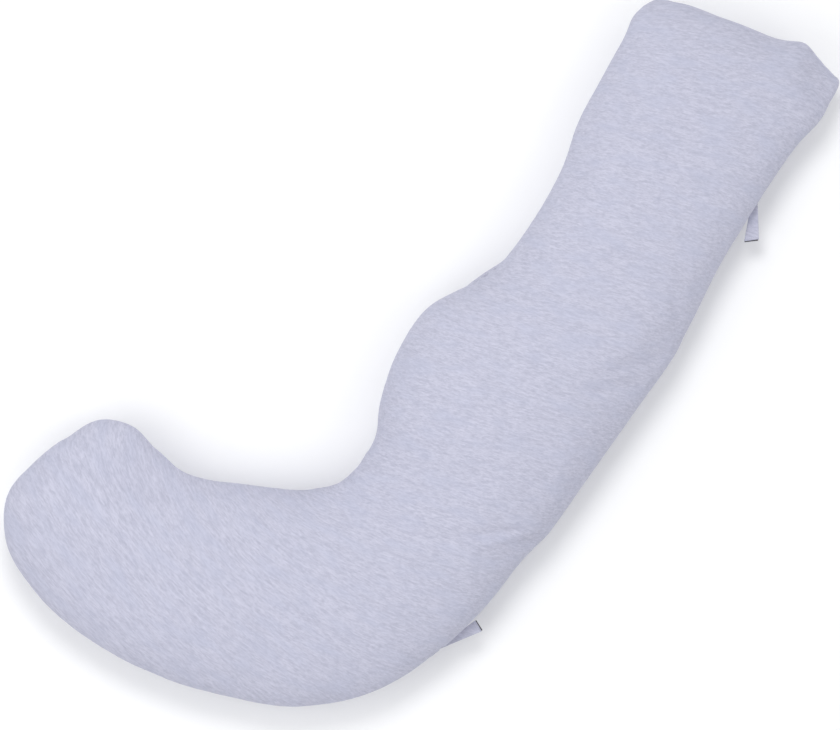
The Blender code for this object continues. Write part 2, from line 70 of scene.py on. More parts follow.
# The pillow's plan, as ribs from the wide end to the hook: inner x, y, then outer x, y.
RIBS = [
    (0.014, 0.640, 0.333, 0.687),
    (0.001, 0.606, 0.341, 0.645),
    (0.008, 0.560, 0.336, 0.585),
    (0.017, 0.480, 0.337, 0.490),
    (0.027, 0.405, 0.343, 0.400),
    (0.048, 0.330, 0.350, 0.330),
    (0.056, 0.245, 0.361, 0.262),
    (0.054, 0.160, 0.369, 0.190),
    (0.031, 0.095, 0.369, 0.100),
    (0.001, 0.030, 0.369, 0.020),
    (0.000, -0.050, 0.369, -0.060),
    (0.024, -0.130, 0.369, -0.137),
    (0.056, -0.200, 0.362, -0.215),
    (0.050, -0.275, 0.355, -0.315),
    (0.012, -0.320, 0.333, -0.420),
    (-0.035, -0.348, 0.288, -0.523),
    (-0.080, -0.372, 0.205, -0.612),
    (-0.125, -0.397, 0.090, -0.671),
    (-0.170, -0.411, -0.030, -0.708),
    (-0.225, -0.406, -0.150, -0.719),
    (-0.278, -0.400, -0.262, -0.701),
    (-0.322, -0.421, -0.335, -0.663),
]
HOOK_END = [(-0.349, -0.474), (-0.368, -0.540), (-0.372, -0.606)]
WIDE_END = [(0.304, 0.710), (0.262, 0.714), (0.190, 0.699), (0.110, 0.678), (0.048, 0.658)]

# Heights and roundings, the same as the part's own.
SEAM_Z = 0.068
FLAT_DEPTH = 0.010
END_RISE = 0.076
BELLY_RISE = 0.112
BELLY_AT = 0.68
BELLY_SPREAD = 0.34
END_ROUNDING = 0.150
END_FADE = 0.400
FULLNESS = 2.3
WALL = 0.016  # height of the hollow that the seam lies in, above and below it
SEAM_DEPTH = {1: 0.005, -1: 0.002}  # how far the seam lies in from each panel's bulge
BULGE_INSET = {1: 0.0, -1: 0.003}  # and how far that bulge lies in from the outline

# How finely the cover is divided before it is subdivided once.
LENGTH_STEP = 0.0095
END_STEPS = 18
WIDTH_STEPS = 46
WALL_STEPS = 2
TABLE_STEPS = 400
RIM_STEP = 0.01  # the inset that the direction inwards is measured over
TINY = 1e-9

# The cover's fabric, and the simulated stuffing pressure.
COVER_THICK = 0.0012
PRESSURE = 4.0
SIM_FRAMES = 20
CLOTH = {
    "quality": 4,
    "mass": 0.3,
    "tension_stiffness": 15.0,
    "compression_stiffness": 15.0,
    "shear_stiffness": 5.0,
    "bending_stiffness": 0.6,
    "use_pressure": True,
    "uniform_pressure_force": PRESSURE,
    "vertex_group_mass": "held",
    "pin_stiffness": 1.0,
    "vertex_group_shrink": "gathered",
    "shrink_min": 0.0,
}
SIM_CAP = 0.005
SIM_GROWTH = 0.0024  # the puffed cloth settles this far inside its outline, and is let out again
SIM_LEVEL = 0.020  # the cover's edge, and less and less the fabric this far off it, keeps its height
SIM_SHRINK = 0.012  # how much the seam's stitching gathers the fabric
START_INSET = 0.0010
SEAM_ROLL = [(0.0008, 0.0004), (0.0028, 0.0002), (0.0062, 0.0002)]  # inwards, and off the seam's plane
SEAM_HALF_GAP = 0.0005
ZIP_HALF_GAP = 0.0036
ZIP_EASE = 0.014
ZIP_FOLD_SHORT = 0.93  # share of the seam allowance that the edge beside the zip goes without
ZIP_SIDE_X = 0.30  # only the outer edge, which holds the zip, lies past this
ZIP_MARGIN = 0.003  # the gap runs this far past the last tooth
ZIP_HOLD = 0.065  # the fabric this near to the zip is held, less and less, in its place

# Where the details of the shape are, in plan.
EAR = (0.322, 0.716)
EAR_REACH = 0.085
EAR_FLAT = 0.24
EAR_PULLS = [((0.319, 0.704), 0.045, (0.009, 0.012)), ((0.246, 0.715), 0.045, (0.002, 0.007))]
EAR_EDGE = ((0.2495, 0.7243), (0.3240, 0.7104))  # the straight end of the ear, from corner to corner
EAR_EDGE_REACH, EAR_CORNER = 0.070, 0.010
INNER_CORNER = (0.046, -0.262)
NOTCH = (0.046, 0.125)
HOOK_DIP = (-0.190, -0.440)
DIP_DEPTH, DIP_REACH = 0.028, 0.100
NOTCH_LEAN, NOTCH_RISE = 0.0042, 0.015  # at the notch the seam shows from above, past the top panel
NOTCH_INWARDS = (0.87, -0.49)
LOWER_TAB_ROOT = (0.335, -0.405)

STREAK_TURN = 20.0  # degrees between the heather's streaks and the plan's x


def smooth(value):
    value = np.clip(value, 0.0, 1.0)
    return value * value * (3.0 - 2.0 * value)


# The plan, as the part draws it, for whole arrays of places at once.

COUNT = len(RIBS)
INNER = [rib[:2] for rib in RIBS]
OUTER = [rib[2:] for rib in RIBS]
POINTS = np.array(INNER + HOOK_END + OUTER[::-1] + WIDE_END)
INNER_END = COUNT - 1
OUTER_END = COUNT + len(HOOK_END)
OUTER_START = 2 * COUNT + len(HOOK_END) - 1


def tangents():
    """Direction of travel at each point of the outline, weighted towards the nearer neighbour."""
    before = POINTS - np.roll(POINTS, 1, axis=0)
    after = np.roll(POINTS, -1, axis=0) - POINTS
    short = np.linalg.norm(before, axis=1, keepdims=True)
    long = np.linalg.norm(after, axis=1, keepdims=True)
    return (before / short * long + after / long * short) / (short + long)


TANGENTS = tangents()


def inset_point(place, inset=0.0):
    """Points of the outline, moved inwards, at places counted in its points."""
    place = np.asarray(place, float)
    index = np.floor(place).astype(int)
    part = (place - index)[..., None]
    low, high = index % len(POINTS), (index + 1) % len(POINTS)
    start, end = POINTS[low], POINTS[high]
    length = np.linalg.norm(end - start, axis=-1, keepdims=True)
    first, last = TANGENTS[low] * length, TANGENTS[high] * length
    square, cube = part**2, part**3
    point = (
        start * (2 * cube - 3 * square + 1)
        + first * (cube - 2 * square + part)
        + end * (3 * square - 2 * cube)
        + last * (cube - square)
    )
    travel = (
        start * (6 * square - 6 * part)
        + first * (3 * square - 4 * part + 1)
        + end * (6 * part - 6 * square)
        + last * (3 * square - 2 * part)
    )
    travel = travel / np.linalg.norm(travel, axis=-1, keepdims=True)
    inwards = np.stack((-travel[..., 1], travel[..., 0]), axis=-1)
    return point + inwards * inset


def edge_table(first, last):
    """Running length along a stretch of the outline, and the places it is measured at."""
    places = np.linspace(first, last, TABLE_STEPS)
    steps = np.linalg.norm(np.diff(inset_point(places), axis=0), axis=1)
    return np.concatenate(([0.0], np.cumsum(steps))), places


WIDE_TABLE = edge_table(len(POINTS), OUTER_START)
HOOK_TABLE = edge_table(INNER_END, OUTER_END)
MIDDLES = (np.array(INNER) + np.array(OUTER)) / 2
SPINE = np.concatenate(([0.0], np.cumsum(np.linalg.norm(np.diff(MIDDLES, axis=0), axis=1))))
LENGTH = SPINE[-1]


def plan_point(distance, across, inset):
    """Plan of the cover: distance along the pillow, and across it from its inner to its outer edge."""
    rib = np.interp(distance, SPINE, np.arange(COUNT))
    inner, outer = inset_point(rib, inset), inset_point(OUTER_START - rib, inset)
    share = across[..., None]
    point = inner + (outer - inner) * share
    for (lengths, places), corner, away in (
        (WIDE_TABLE, 0.0, distance),
        (HOOK_TABLE, float(INNER_END), LENGTH - distance),
    ):
        fade = np.clip(1.0 - away / END_FADE, 0.0, None)[..., None] ** 2
        start, end = inset_point(corner, inset), inset_point(OUTER_START - corner, inset)
        curve = inset_point(np.interp(across * lengths[-1], lengths, places), inset)
        point = point + (curve - start - (end - start) * share) * fade
    return point


def crown(distance, across):
    """Share of its full height that the pillow has at a place: 0 at the edge and 1 at the middle."""
    side = np.sqrt(np.clip(1.0 - np.abs(2.0 * across - 1.0) ** FULLNESS, 0.0, None))
    reach = np.clip(np.minimum(distance, LENGTH - distance) / END_ROUNDING, 0.0, 1.0)
    return side * np.sqrt(np.clip(1.0 - (1.0 - reach) ** FULLNESS, 0.0, None))


def rise_above_seam(distance):
    bulge = np.exp(-(((distance - BELLY_AT) / BELLY_SPREAD) ** 2))
    return END_RISE + (BELLY_RISE - END_RISE) * bulge


def near(plan, place, reach):
    """1 at a place in plan, falling smoothly to 0 at reach from it."""
    away = np.linalg.norm(plan - np.array(place), axis=-1)
    return 1.0 - smooth(away / reach)


# The cover before it is stuffed: one closed mesh, both panels sharing the seam line.


def stations():
    turns = np.linspace(0.0, math.pi / 2, END_STEPS, endpoint=False)
    end = END_ROUNDING * (1.0 - np.cos(turns))
    middle = np.arange(END_ROUNDING, LENGTH - END_ROUNDING, LENGTH_STEP)
    distances = np.concatenate((end, middle, LENGTH - end[::-1]))
    shares = 0.5 - 0.5 * np.cos(np.linspace(0.0, math.pi, WIDTH_STEPS + 1))
    return distances, shares


def rim_indices(rows, columns):
    """The grid's edge points once round, anticlockwise: inner edge, hook end, outer edge, wide end."""
    grid = np.arange(rows * columns).reshape(rows, columns)
    return np.concatenate((grid[:-1, 0], grid[-1, :-1], grid[:0:-1, -1], grid[0, :0:-1]))


def pulled(plan):
    """Plan points with the ear's two corners pulled out."""
    for place, reach, pull in EAR_PULLS:
        plan = plan + near(plan, place, reach)[:, None] * np.array(pull)
    return plan


def squared(plan, outline):
    """Plan points moved so that the ear's outline runs straight from corner to corner."""
    first, last = (np.array(corner) for corner in EAR_EDGE)
    length = np.linalg.norm(last - first)
    along = (last - first) / length
    out = np.array([-along[1], along[0]])
    edge_place, edge_level = (outline - first) @ along, (outline - first) @ out
    beside = (np.abs(edge_place - length / 2) < length) & (edge_level > -EAR_EDGE_REACH)
    order = np.argsort(edge_place[beside])
    place, level = (plan - first) @ along, (plan - first) @ out
    lack = -np.interp(place, edge_place[beside][order], edge_level[beside][order])
    ends = smooth(1.0 + place / EAR_CORNER) * smooth(1.0 + (length - place) / EAR_CORNER)
    depth = smooth(1.0 + (level + lack) / EAR_EDGE_REACH)
    return plan + (lack * ends * depth)[:, None] * out


def half_points(side, distance, across, rim):
    """One panel's points: its crowned grid, then the rings of its wall down to the seam's line."""
    plan = plan_point(distance, across, BULGE_INSET[side])
    full = rise_above_seam(distance) if side > 0 else np.full_like(distance, SEAM_Z + FLAT_DEPTH)
    height = WALL + (full - WALL) * crown(distance, across)
    levels = [(plan, height)]
    for step in range(WALL_STEPS, -1, -1):
        rise = step / (WALL_STEPS + 1)
        valley = SEAM_DEPTH[side] * (1.0 + math.cos(math.pi * rise)) / 2
        ring = plan_point(distance[rim], across[rim], BULGE_INSET[side] + valley)
        levels.append((ring, np.full(len(rim), WALL * rise)))
    plan = np.concatenate([level[0] for level in levels])
    height = np.concatenate([level[1] for level in levels])
    height = height * (1.0 - (1.0 - EAR_FLAT) * near(plan, EAR, EAR_REACH))
    if side > 0:
        height = height - DIP_DEPTH * near(plan, HOOK_DIP, DIP_REACH) * smooth(height / BELLY_RISE)
    plan = squared(pulled(plan), pulled(plan_point(distance[rim], across[rim], 0.0)))
    lean = NOTCH_LEAN * (2.0 * smooth(height / NOTCH_RISE) * (side > 0) - 1.0)
    plan = plan + np.outer(near(plan, NOTCH, NOTCH_REACH) * lean, NOTCH_INWARDS)
    z = np.maximum(SEAM_Z + side * height, 0.0)
    return np.column_stack((plan, z))


def rim_inwards(distance, across, rim):
    """Unit directions from the pillow's edge towards its inside, once round."""
    edge, inside = (plan_point(distance[rim], across[rim], inset) for inset in (0.0, RIM_STEP))
    step = inside - edge
    level = np.column_stack((step, np.zeros(len(rim))))
    return level / np.linalg.norm(level, axis=1, keepdims=True)


def fabric_places(distance, across, plan):
    """Where each point lies in the cloth: halfway between its place in plan and along the spine."""
    rib = np.interp(distance, SPINE, np.arange(COUNT))
    width = np.linalg.norm(inset_point(rib) - inset_point(OUTER_START - rib), axis=-1)
    along = np.column_stack((width * (across - 0.5), -distance))
    return (plan + along) / 2


def ring_quads(upper, lower):
    return np.column_stack((np.roll(upper, -1), upper, lower, np.roll(lower, -1)))


def cover_faces(rows, columns, rim):
    """The top panel's faces, the bottom panel's, and the numbers of the seam's points, which they share."""
    grid = np.arange(rows * columns).reshape(rows, columns)
    quads = np.stack((grid[:-1, :-1], grid[1:, :-1], grid[1:, 1:], grid[:-1, 1:]), axis=-1).reshape(-1, 4)
    ring = len(rim)
    loops = [rim] + [rows * columns + step * ring + np.arange(ring) for step in range(WALL_STEPS + 1)]
    walls = [ring_quads(upper, lower) for upper, lower in zip(loops, loops[1:])]
    top = np.concatenate([quads] + walls)
    seam = loops[-1]
    offset = rows * columns + ring * (WALL_STEPS + 1)
    under = top[:, ::-1] + offset
    under = np.where(under >= offset + seam[0], under - offset, under)
    return top, under, seam


def cover_arrays():
    """The cover's points, its two panels' faces, each point's labels, and the seam's point numbers."""
    distances, shares = stations()
    rows, columns = len(distances), len(shares)
    distance = np.repeat(distances, columns)
    across = np.tile(shares, rows)
    rim = rim_indices(rows, columns)
    ring = len(rim)
    top_faces, under_faces, seam = cover_faces(rows, columns, rim)
    under = half_points(-1, distance, across, rim)[:-ring]
    points = np.concatenate((half_points(1, distance, across, rim), under))
    spots = np.concatenate((np.arange(rows * columns), np.tile(rim, WALL_STEPS + 1)))
    spots = np.concatenate((spots, spots[:-ring]))
    places = fabric_places(distance[spots], across[spots], points[:, :2])
    layout = np.column_stack((distance[spots], across[spots], points[:, 2]))
    inwards = np.zeros((len(points), 3))
    inwards[seam] = rim_inwards(distance, across, rim)
    cloth = np.column_stack((places, points[:, 2]))
    labels = {"fabric": cloth, "layout": layout, "inwards": inwards}
    return points, (top_faces, under_faces), labels, seam


def linked(name, data):
    """A new object in the scene."""
    made = bpy.data.objects.new(name, data)
    bpy.context.scene.collection.objects.link(made)
    return made


def mesh_object(name, points, faces):
    mesh = bpy.data.meshes.new(name)
    corners = [tuple(int(i) for i in face) for face in faces]
    mesh.from_pydata([tuple(point) for point in points], [], corners)
    mesh.validate()
    return linked(name, mesh)


def bmesh_object(name, bm):
    mesh = bpy.data.meshes.new(name)
    bm.to_mesh(mesh)
    bm.free()
    return linked(name, mesh)


def triples(mesh, items, label):
    """A vector of each of the mesh's vertices, as an array."""
    flat = np.zeros(len(mesh.vertices) * 3, np.float32)
    items.foreach_get(label, flat)
    return flat.reshape(-1, 3).astype(float)


def coordinates(mesh):
    return triples(mesh, mesh.vertices, "co")


def normals(mesh):
    return triples(mesh, mesh.vertex_normals, "vector")


def add_attribute(mesh, label, values):
    layer = mesh.attributes.new(label, "FLOAT_VECTOR", "POINT")
    layer.data.foreach_set("vector", values.astype(np.float32).ravel())


def set_coordinates(mesh, points):
    mesh.vertices.foreach_set("co", points.astype(np.float32).ravel())
    mesh.update()


def evaluated_mesh(obj):
    """A mesh of the object as its modifiers or its curve's settings make it."""
    bpy.context.view_layer.update()
    whole = obj.evaluated_get(bpy.context.evaluated_depsgraph_get())
    return bpy.data.meshes.new_from_object(whole)


def applied(obj):
    """The object with its modifiers applied."""
    mesh = evaluated_mesh(obj)
    obj.modifiers.clear()
    obj.data = mesh
    return obj


# The stuffing's pressure, simulated with the seam and the zip holding the fabric.


def zip_range():
    low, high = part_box("zip_coil_upper")
    return low.y, high.y


def zip_share(points):
    """1 along the zip, falling to 0 past its ends and away from its line."""
    low, high = zip_range()
    past = np.maximum(low - points[:, 1], points[:, 1] - high)
    beside = np.maximum(np.abs(points[:, 2] - SEAM_Z) - WALL, 0.0)
    inside = np.maximum(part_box("zip_tape_upper")[0].x - WALL - points[:, 0], 0.0)
    away = np.maximum(np.maximum(past, beside), inside)
    return 1.0 - smooth(away / ZIP_HOLD)


def add_group(obj, name, weights):
    group = obj.vertex_groups.new(name=name)
    for index in np.nonzero(weights > 0.0)[0]:
        group.add([int(index)], float(weights[index]), "REPLACE")


def simulate(obj):
    """Runs the cloth simulation and leaves its last frame as the object's mesh."""
    cloth = obj.modifiers.new("stuffing", "CLOTH")
    for name, value in CLOTH.items():
        setattr(cloth.settings, name, value)
    cloth.settings.shrink_max = SIM_SHRINK
    cloth.settings.effector_weights.gravity = 0.0
    cloth.point_cache.frame_start = 1
    cloth.point_cache.frame_end = SIM_FRAMES
    scene = bpy.context.scene
    for number in range(1, SIM_FRAMES + 1):
        scene.frame_set(number)
    applied(obj)
    scene.frame_set(1)


def stuff(obj, seam):
    """Puffs the cover up with cloth physics, by SIM_CAP at most, and then lets it out by SIM_GROWTH."""
    target = coordinates(obj.data)
    start = target - normals(obj.data) * START_INSET
    start[:, 2] = np.where(target[:, 2] <= 0.0, 0.0, start[:, 2])
    held = np.maximum(zip_share(target), (target[:, 2] <= 0.0) * 1.0)
    start = start + (target - start) * held[:, None]
    set_coordinates(obj.data, start)
    add_group(obj, "held", held)
    gathered = np.zeros(len(target))
    gathered[seam] = 1.0
    add_group(obj, "gathered", gathered)
    simulate(obj)
    moved = coordinates(obj.data) - target
    moved[:, 2] = moved[:, 2] * smooth(np.abs(target[:, 2] - SEAM_Z) / SIM_LEVEL)
    length = np.linalg.norm(moved, axis=1, keepdims=True)
    moved = moved * np.minimum(1.0, SIM_CAP / np.maximum(length, TINY))
    result = target + moved
    level = normals(obj.data) * (SIM_GROWTH, SIM_GROWTH, 0.0)
    result = result + level * (1.0 - held)[:, None]
    result[:, 2] = np.clip(result[:, 2], 0.0, None)
    set_coordinates(obj.data, result)


# The sewn cover: two panels cut from the simulated mesh, with their edges rolled into the seam.

LUMP_SIZE, LUMP_HEIGHT = 0.085, 0.0016
PUCKER_LENGTH, PUCKER_HEIGHT, PUCKER_REACH, PUCKER_START = 0.0085, 0.0022, 0.016, 0.004
PUCKER_SLANT = 0.35  # lets the puckers follow one another round the two ends as well
GATHER_LENGTH, GATHER_MEAN, GATHER_SPREAD = 0.12, 0.45, 0.55  # how the puckers come and go along the seam
CREASES, CREASE_DEPTH, CREASE_REACH, CREASE_START = 5, 0.0020, 0.150, 0.030
CREASE_BEND, CREASE_WANDER = 1.5, 3.0  # how much the folds curve, and how unevenly
NOTCH_DEPTH, NOTCH_REACH, NOTCH_FADE = 0.0030, 0.060, 0.018
NOTCH_WAVE, NOTCH_SLANT = 0.0035, 0.6
ROOT_DEPTH, ROOT_REACH, ROOT_START, ROOT_FOLDS = 0.0042, 0.070, 0.012, 9
FLOOR_CLEAR, FLOOR_FADE = 0.001, 0.012  # the fabric on the floor keeps flat


def noise_of(points, size, seed):
    """Smooth noise from -1 to 1 at each point."""
    shift = Vector((seed, seed * 1.7, seed * 0.3))
    return np.array([noise.noise(Vector(point) / size + shift) for point in points])


def zip_opening(points):
    """Half the gap between the panels' edges, and how open it is: 1 beside the zip and 0 elsewhere."""
    low, high = zip_range()
    past = np.maximum(low - points[:, 1], points[:, 1] - high) - ZIP_MARGIN
    opened = (1.0 - smooth(past / ZIP_EASE)) * (points[:, 0] > ZIP_SIDE_X)
    return SEAM_HALF_GAP + (ZIP_HALF_GAP - SEAM_HALF_GAP) * opened, opened


def panel_mesh(name, points, faces, labels):
    """A mesh of some of the cover's faces, with each point's place in the cloth, subdivided once."""
    used, numbers = np.unique(faces, return_inverse=True)
    panel = mesh_object(name, points[used], numbers.reshape(faces.shape))
    for label, values in labels.items():
        add_attribute(panel.data, label, values[used])
    smoothing = panel.modifiers.new("subdivision", "SUBSURF")
    smoothing.levels = 1
    smoothing.render_levels = 1
    return applied(panel)


def creases(plan, place, count, turn):
    """Folds that fan out of a place: 1 at the bottom of a fold and 0 between them."""
    away = plan - np.array(place)
    angle = np.arctan2(away[:, 1], away[:, 0]) + turn
    reach = np.linalg.norm(away, axis=1)
    bent = angle + CREASE_BEND * reach / CREASE_REACH * np.sin(CREASE_WANDER * angle)
    return np.clip(np.cos(count * bent), 0.0, 1.0) ** 3


def seam_puckers(layout, height, side):
    """Small waves along the seam, that come and go along it and fade away from it."""
    run = layout[:, 0] + PUCKER_SLANT * layout[:, 1]
    line = np.column_stack((run, run * 0.0, run * 0.0))
    ripple = noise_of(line, PUCKER_LENGTH, seed=9.0 + side)
    gather = GATHER_MEAN + GATHER_SPREAD * noise_of(line, GATHER_LENGTH, seed=5.0)
    fade = np.exp(-height / PUCKER_REACH) * smooth(height / PUCKER_START)
    return ripple * gather * fade * PUCKER_HEIGHT


def corner_folds(plan, height):
    corner = near(plan, INNER_CORNER, CREASE_REACH) * smooth(height / CREASE_START)
    return creases(plan, INNER_CORNER, CREASES, turn=0.3) * corner * CREASE_DEPTH


def root_gathers(points):
    """Folds that fan out over the pillow's side from the lower tab's root."""
    offset = points - (*LOWER_TAB_ROOT, SEAM_Z)
    away = np.linalg.norm(offset, axis=1)
    up = np.sqrt(np.maximum(away**2 - offset[:, 1] ** 2, 0.0))
    root = smooth(1.0 - away / ROOT_REACH) * smooth(away / ROOT_START)
    fan = creases(np.column_stack((offset[:, 1], up)), (0.0, 0.0), ROOT_FOLDS, turn=0.2)
    return fan * root * ROOT_DEPTH


def notch_ripple(points, height):
    """The gathered fabric where the seam turns round the notch."""
    notch = near(points[:, :2], NOTCH, NOTCH_REACH) * np.exp(-height / NOTCH_FADE)
    return np.cos((points[:, 1] + NOTCH_SLANT * points[:, 0]) / NOTCH_WAVE) * notch * NOTCH_DEPTH


def add_details(panel, side):
    """Soft lumps, puckers along the seam, and the folds and dips that the filled cover has."""
    points = coordinates(panel.data)
    outwards = normals(panel.data)
    layout = triples(panel.data, panel.data.attributes["layout"].data, "vector")
    height = np.abs(points[:, 2] - SEAM_Z)
    move = noise_of(points, LUMP_SIZE, seed=3.0) * LUMP_HEIGHT
    move = move + seam_puckers(layout, height, side)
    move = move - corner_folds(points[:, :2], height) - root_gathers(points)
    if side > 0:
        move = move - notch_ripple(points, height)
    free = (1.0 - zip_share(points)) * smooth((points[:, 2] - FLOOR_CLEAR) / FLOOR_FADE)
    points = points + outwards * (move * free)[:, None]
    gap, _ = zip_opening(points)
    rise = np.abs(points[:, 2] - SEAM_Z)
    opened = SEAM_Z + side * (gap + rise * (1.0 - gap / WALL))
    points[:, 2] = np.where(rise < WALL, opened, points[:, 2])
    points[:, 2] = np.clip(points[:, 2], 0.0, None)
    set_coordinates(panel.data, points)


def roll_edge(panel):
    """Turns the panel's edge in along the seam as its sewn allowance. Beside the zip it only folds."""
    bm = bmesh.new()
    bm.from_mesh(panel.data)
    drawn = bm.verts.layers.float_vector["inwards"]
    start = bm.verts.layers.float_vector.new("start")
    turn = bm.verts.layers.float_vector.new("turn")
    side = 1.0 if max(vert.co.z for vert in bm.verts) > 2.0 * SEAM_Z else -1.0
    rim = [vert for vert in bm.verts if vert.is_boundary]
    _, opened = zip_opening(np.array([vert.co for vert in rim]))
    for vert, share in zip(rim, opened):
        vert[start] = vert.co
        vert[turn] = Vector(vert[drawn]).normalized() * (1.0 - ZIP_FOLD_SHORT * share)
    edges = [edge for edge in bm.edges if edge.is_boundary]
    for depth, level in SEAM_ROLL:
        made = bmesh.ops.extrude_edge_only(bm, edges=edges)["geom"]
        for vert in (item for item in made if isinstance(item, bmesh.types.BMVert)):
            share = Vector(vert[turn]).length
            drop = side * (SEAM_HALF_GAP - level) * share
            vert.co = Vector(vert[start]) + Vector(vert[turn]) * depth - Vector((0.0, 0.0, drop))
        edges = [item for item in made if isinstance(item, bmesh.types.BMEdge) and item.is_boundary]
    for label in ("start", "turn", "inwards", "layout"):
        bm.verts.layers.float_vector.remove(bm.verts.layers.float_vector[label])
    bm.to_mesh(panel.data)
    bm.free()


def thicken(obj, thick, offset=-1.0):
    solid = obj.modifiers.new("fabric", "SOLIDIFY")
    solid.thickness = thick
    solid.offset = offset
    applied(obj)
    obj.data.shade_smooth()
    return obj


def make_cover():
    """Both panels of the cover, and the simulated mesh that they and the layers inside come from."""
    points, (top, under), labels, seam = cover_arrays()
    whole = mesh_object("cover_form", points, np.concatenate((top, under)))
    stuff(whole, seam)
    form, outwards = coordinates(whole.data), normals(whole.data)
    bpy.data.objects.remove(whole, do_unlink=True)
    panels = []
    for name, side, faces in (("cover_top", 1, top), ("cover_bottom", -1, under)):
        panel = panel_mesh(name, form, faces, labels)
        add_details(panel, side)
        roll_edge(panel)
        panels.append(thicken(panel, COVER_THICK))
    return panels, (form, outwards, top, under, seam, labels["inwards"][seam])


# The layers inside: each follows the simulated cover at a distance, so that none shows through it.

CASING_THICK = 0.0006
CASING_DEPTH, FILL_DEPTH = 0.0075, 0.0105
SEAM_CLEARANCE, SEAM_FADE = 0.010, 0.012
OVERLOCK = (0.0118, 0.0142, 0.0016)  # a band's near and far edge, inwards of the seam, and its thickness
CASING_EDGE = (0.0150, 0.0162, 0.0008)
INNER_EAR_REACH, INNER_EAR_PULL, INNER_EAR_FLAT = 0.110, (-0.022, -0.030, 0.0), 0.7  # it is unfilled


def inner_points(form, outwards, depth):
    height = np.abs(form[:, 2] - SEAM_Z)
    inset = depth + SEAM_CLEARANCE * np.exp(-height / SEAM_FADE)
    points = form - outwards * inset[:, None]
    ear = near(form[:, :2], EAR, INNER_EAR_REACH)[:, None]
    points = points + ear * np.array(INNER_EAR_PULL)
    points[:, 2] = points[:, 2] + (SEAM_Z - points[:, 2]) * INNER_EAR_FLAT * ear[:, 0]
    above = form[:, 2] >= SEAM_Z
    low = np.minimum(points[:, 2], SEAM_Z - CASING_THICK)
    high = np.maximum(points[:, 2], SEAM_Z + CASING_THICK)
    points[:, 2] = np.where(above, high, low)
    return points


def make_inside(shape):
    form, outwards, top, under, seam, _ = shape
    points = inner_points(form, outwards, CASING_DEPTH)
    pieces = []
    for name, faces in (("casing_top", top), ("casing_bottom", under)):
        used, numbers = np.unique(faces, return_inverse=True)
        level = points[used]
        if name == "casing_bottom":
            edge = np.isin(used, seam)
            level[edge, 2] = SEAM_Z - CASING_THICK
        casing = mesh_object(name, level, numbers.reshape(faces.shape))
        pieces.append(thicken(casing, CASING_THICK))
    filling = inner_points(form, outwards, FILL_DEPTH)
    filling[seam, 2] = SEAM_Z
    fill = mesh_object("fibre_filling", filling, np.concatenate((top, under)))
    fill.data.shade_smooth()
    return pieces, fill


def seam_band(name, shape, near_depth, far_depth, thick, whole):
    """A flat band of sewn fabric inside the seam, with the zip's stretch left out unless it is whole."""
    form, _, _, _, seam, inwards = shape
    line, across = form[seam], -inwards
    _, opened = zip_opening(line)
    if not whole:
        start = int(np.argmax(np.roll(opened, 1) - opened))
        line, across, opened = (np.roll(values, -start, axis=0) for values in (line, across, opened))
        kept = opened < 0.01
        line, across = line[kept], across[kept]
    lift = np.array([0.0, 0.0, thick / 2])
    rows = [
        line - across * near_depth + lift,
        line - across * far_depth + lift,
        line - across * far_depth - lift,
        line - across * near_depth - lift,
    ]
    count = len(line)
    steps = count if whole else count - 1
    faces = []
    for step in range(steps):
        ahead = (step + 1) % count
        for side in range(4):
            after = (side + 1) % 4
            low, high = side * count, after * count
            faces.append((low + step, high + step, high + ahead, low + ahead))
    if not whole:
        faces.append(tuple(side * count for side in (3, 2, 1, 0)))
        faces.append(tuple(side * count + count - 1 for side in range(4)))
    return mesh_object(name, np.concatenate(rows), faces)


# The zip: coils wound from one wire each, a shaped slider with its pull, and the stitching beside it.

WIRE = 0.00030  # radius of the coils' wire
COIL_PITCH = 0.00125
COIL_POINTS = 10  # to a turn
COIL_REACH = 0.00032  # how far the coils' heads reach past their own box towards each other
SLIDER_PLATE = 0.0012
SLIDER_BEVEL = 0.0003
SLIDER_EDGE = [  # shares of the slider's length, and of its half width
    (0.0, 0.42), (0.06, 0.68), (0.2, 0.80), (0.42, 0.86), (0.62, 0.97),
    (0.84, 1.0), (0.95, 0.92), (1.0, 0.74), (0.97, 0.30),
]
BRIDGE_HEIGHT = 0.0024
BRIDGE_WIRE, BRIDGE_REACH, BRIDGE_STEPS = 0.00045, 0.0026, 12
BRIDGE_APART, BRIDGE_FOOT = 0.0005, 0.0002
NECK_WIDTH = 0.0009
NECK_SHORT = 0.0012
NECK_BEVEL = 0.0001
CORNER_STEPS = 6
PULL_THICK = 0.0009
PULL_ARM = 0.0014
PULL_FORK = 0.0052  # from the bar back to where the pull divides into its two arms
PULL_OVERLAP, PULL_CORNER, PULL_BEVEL = 0.0006, 0.0022, 0.0003
ARM_BACK, ARM_CORNER, ARM_BEVEL, ARM_THIN = 0.0010, 0.0004, 0.0002, 0.96
BAR_RADIUS, BAR_SHORT = 0.00038, 0.0004
SLOT_FROM_END, SLOT_FROM_FORK, SLOT_HALF, SLOT_CORNER = 0.0062, 0.0042, 0.0012, 0.0010
STITCH_LENGTH, STITCH_PERIOD, STITCH_RADIUS = 0.0026, 0.0038, 0.00028
STITCH_FROM_GAP, STITCH_PAST = 0.0024, 0.006  # off the zip's gap, and past its last teeth
STITCH_PROUD = 0.3


def wire_object(name, runs, radius):
    """A mesh tube along each run of points."""
    curve = bpy.data.curves.new(name, "CURVE")
    curve.dimensions = "3D"
    curve.bevel_depth = radius
    curve.bevel_resolution = 1
    curve.use_fill_caps = True
    for points in runs:
        spline = curve.splines.new("POLY")
        spline.points.add(len(points) - 1)
        for place, point in zip(spline.points, points):
            place.co = (*point, 1.0)
    return converted(curve, name)


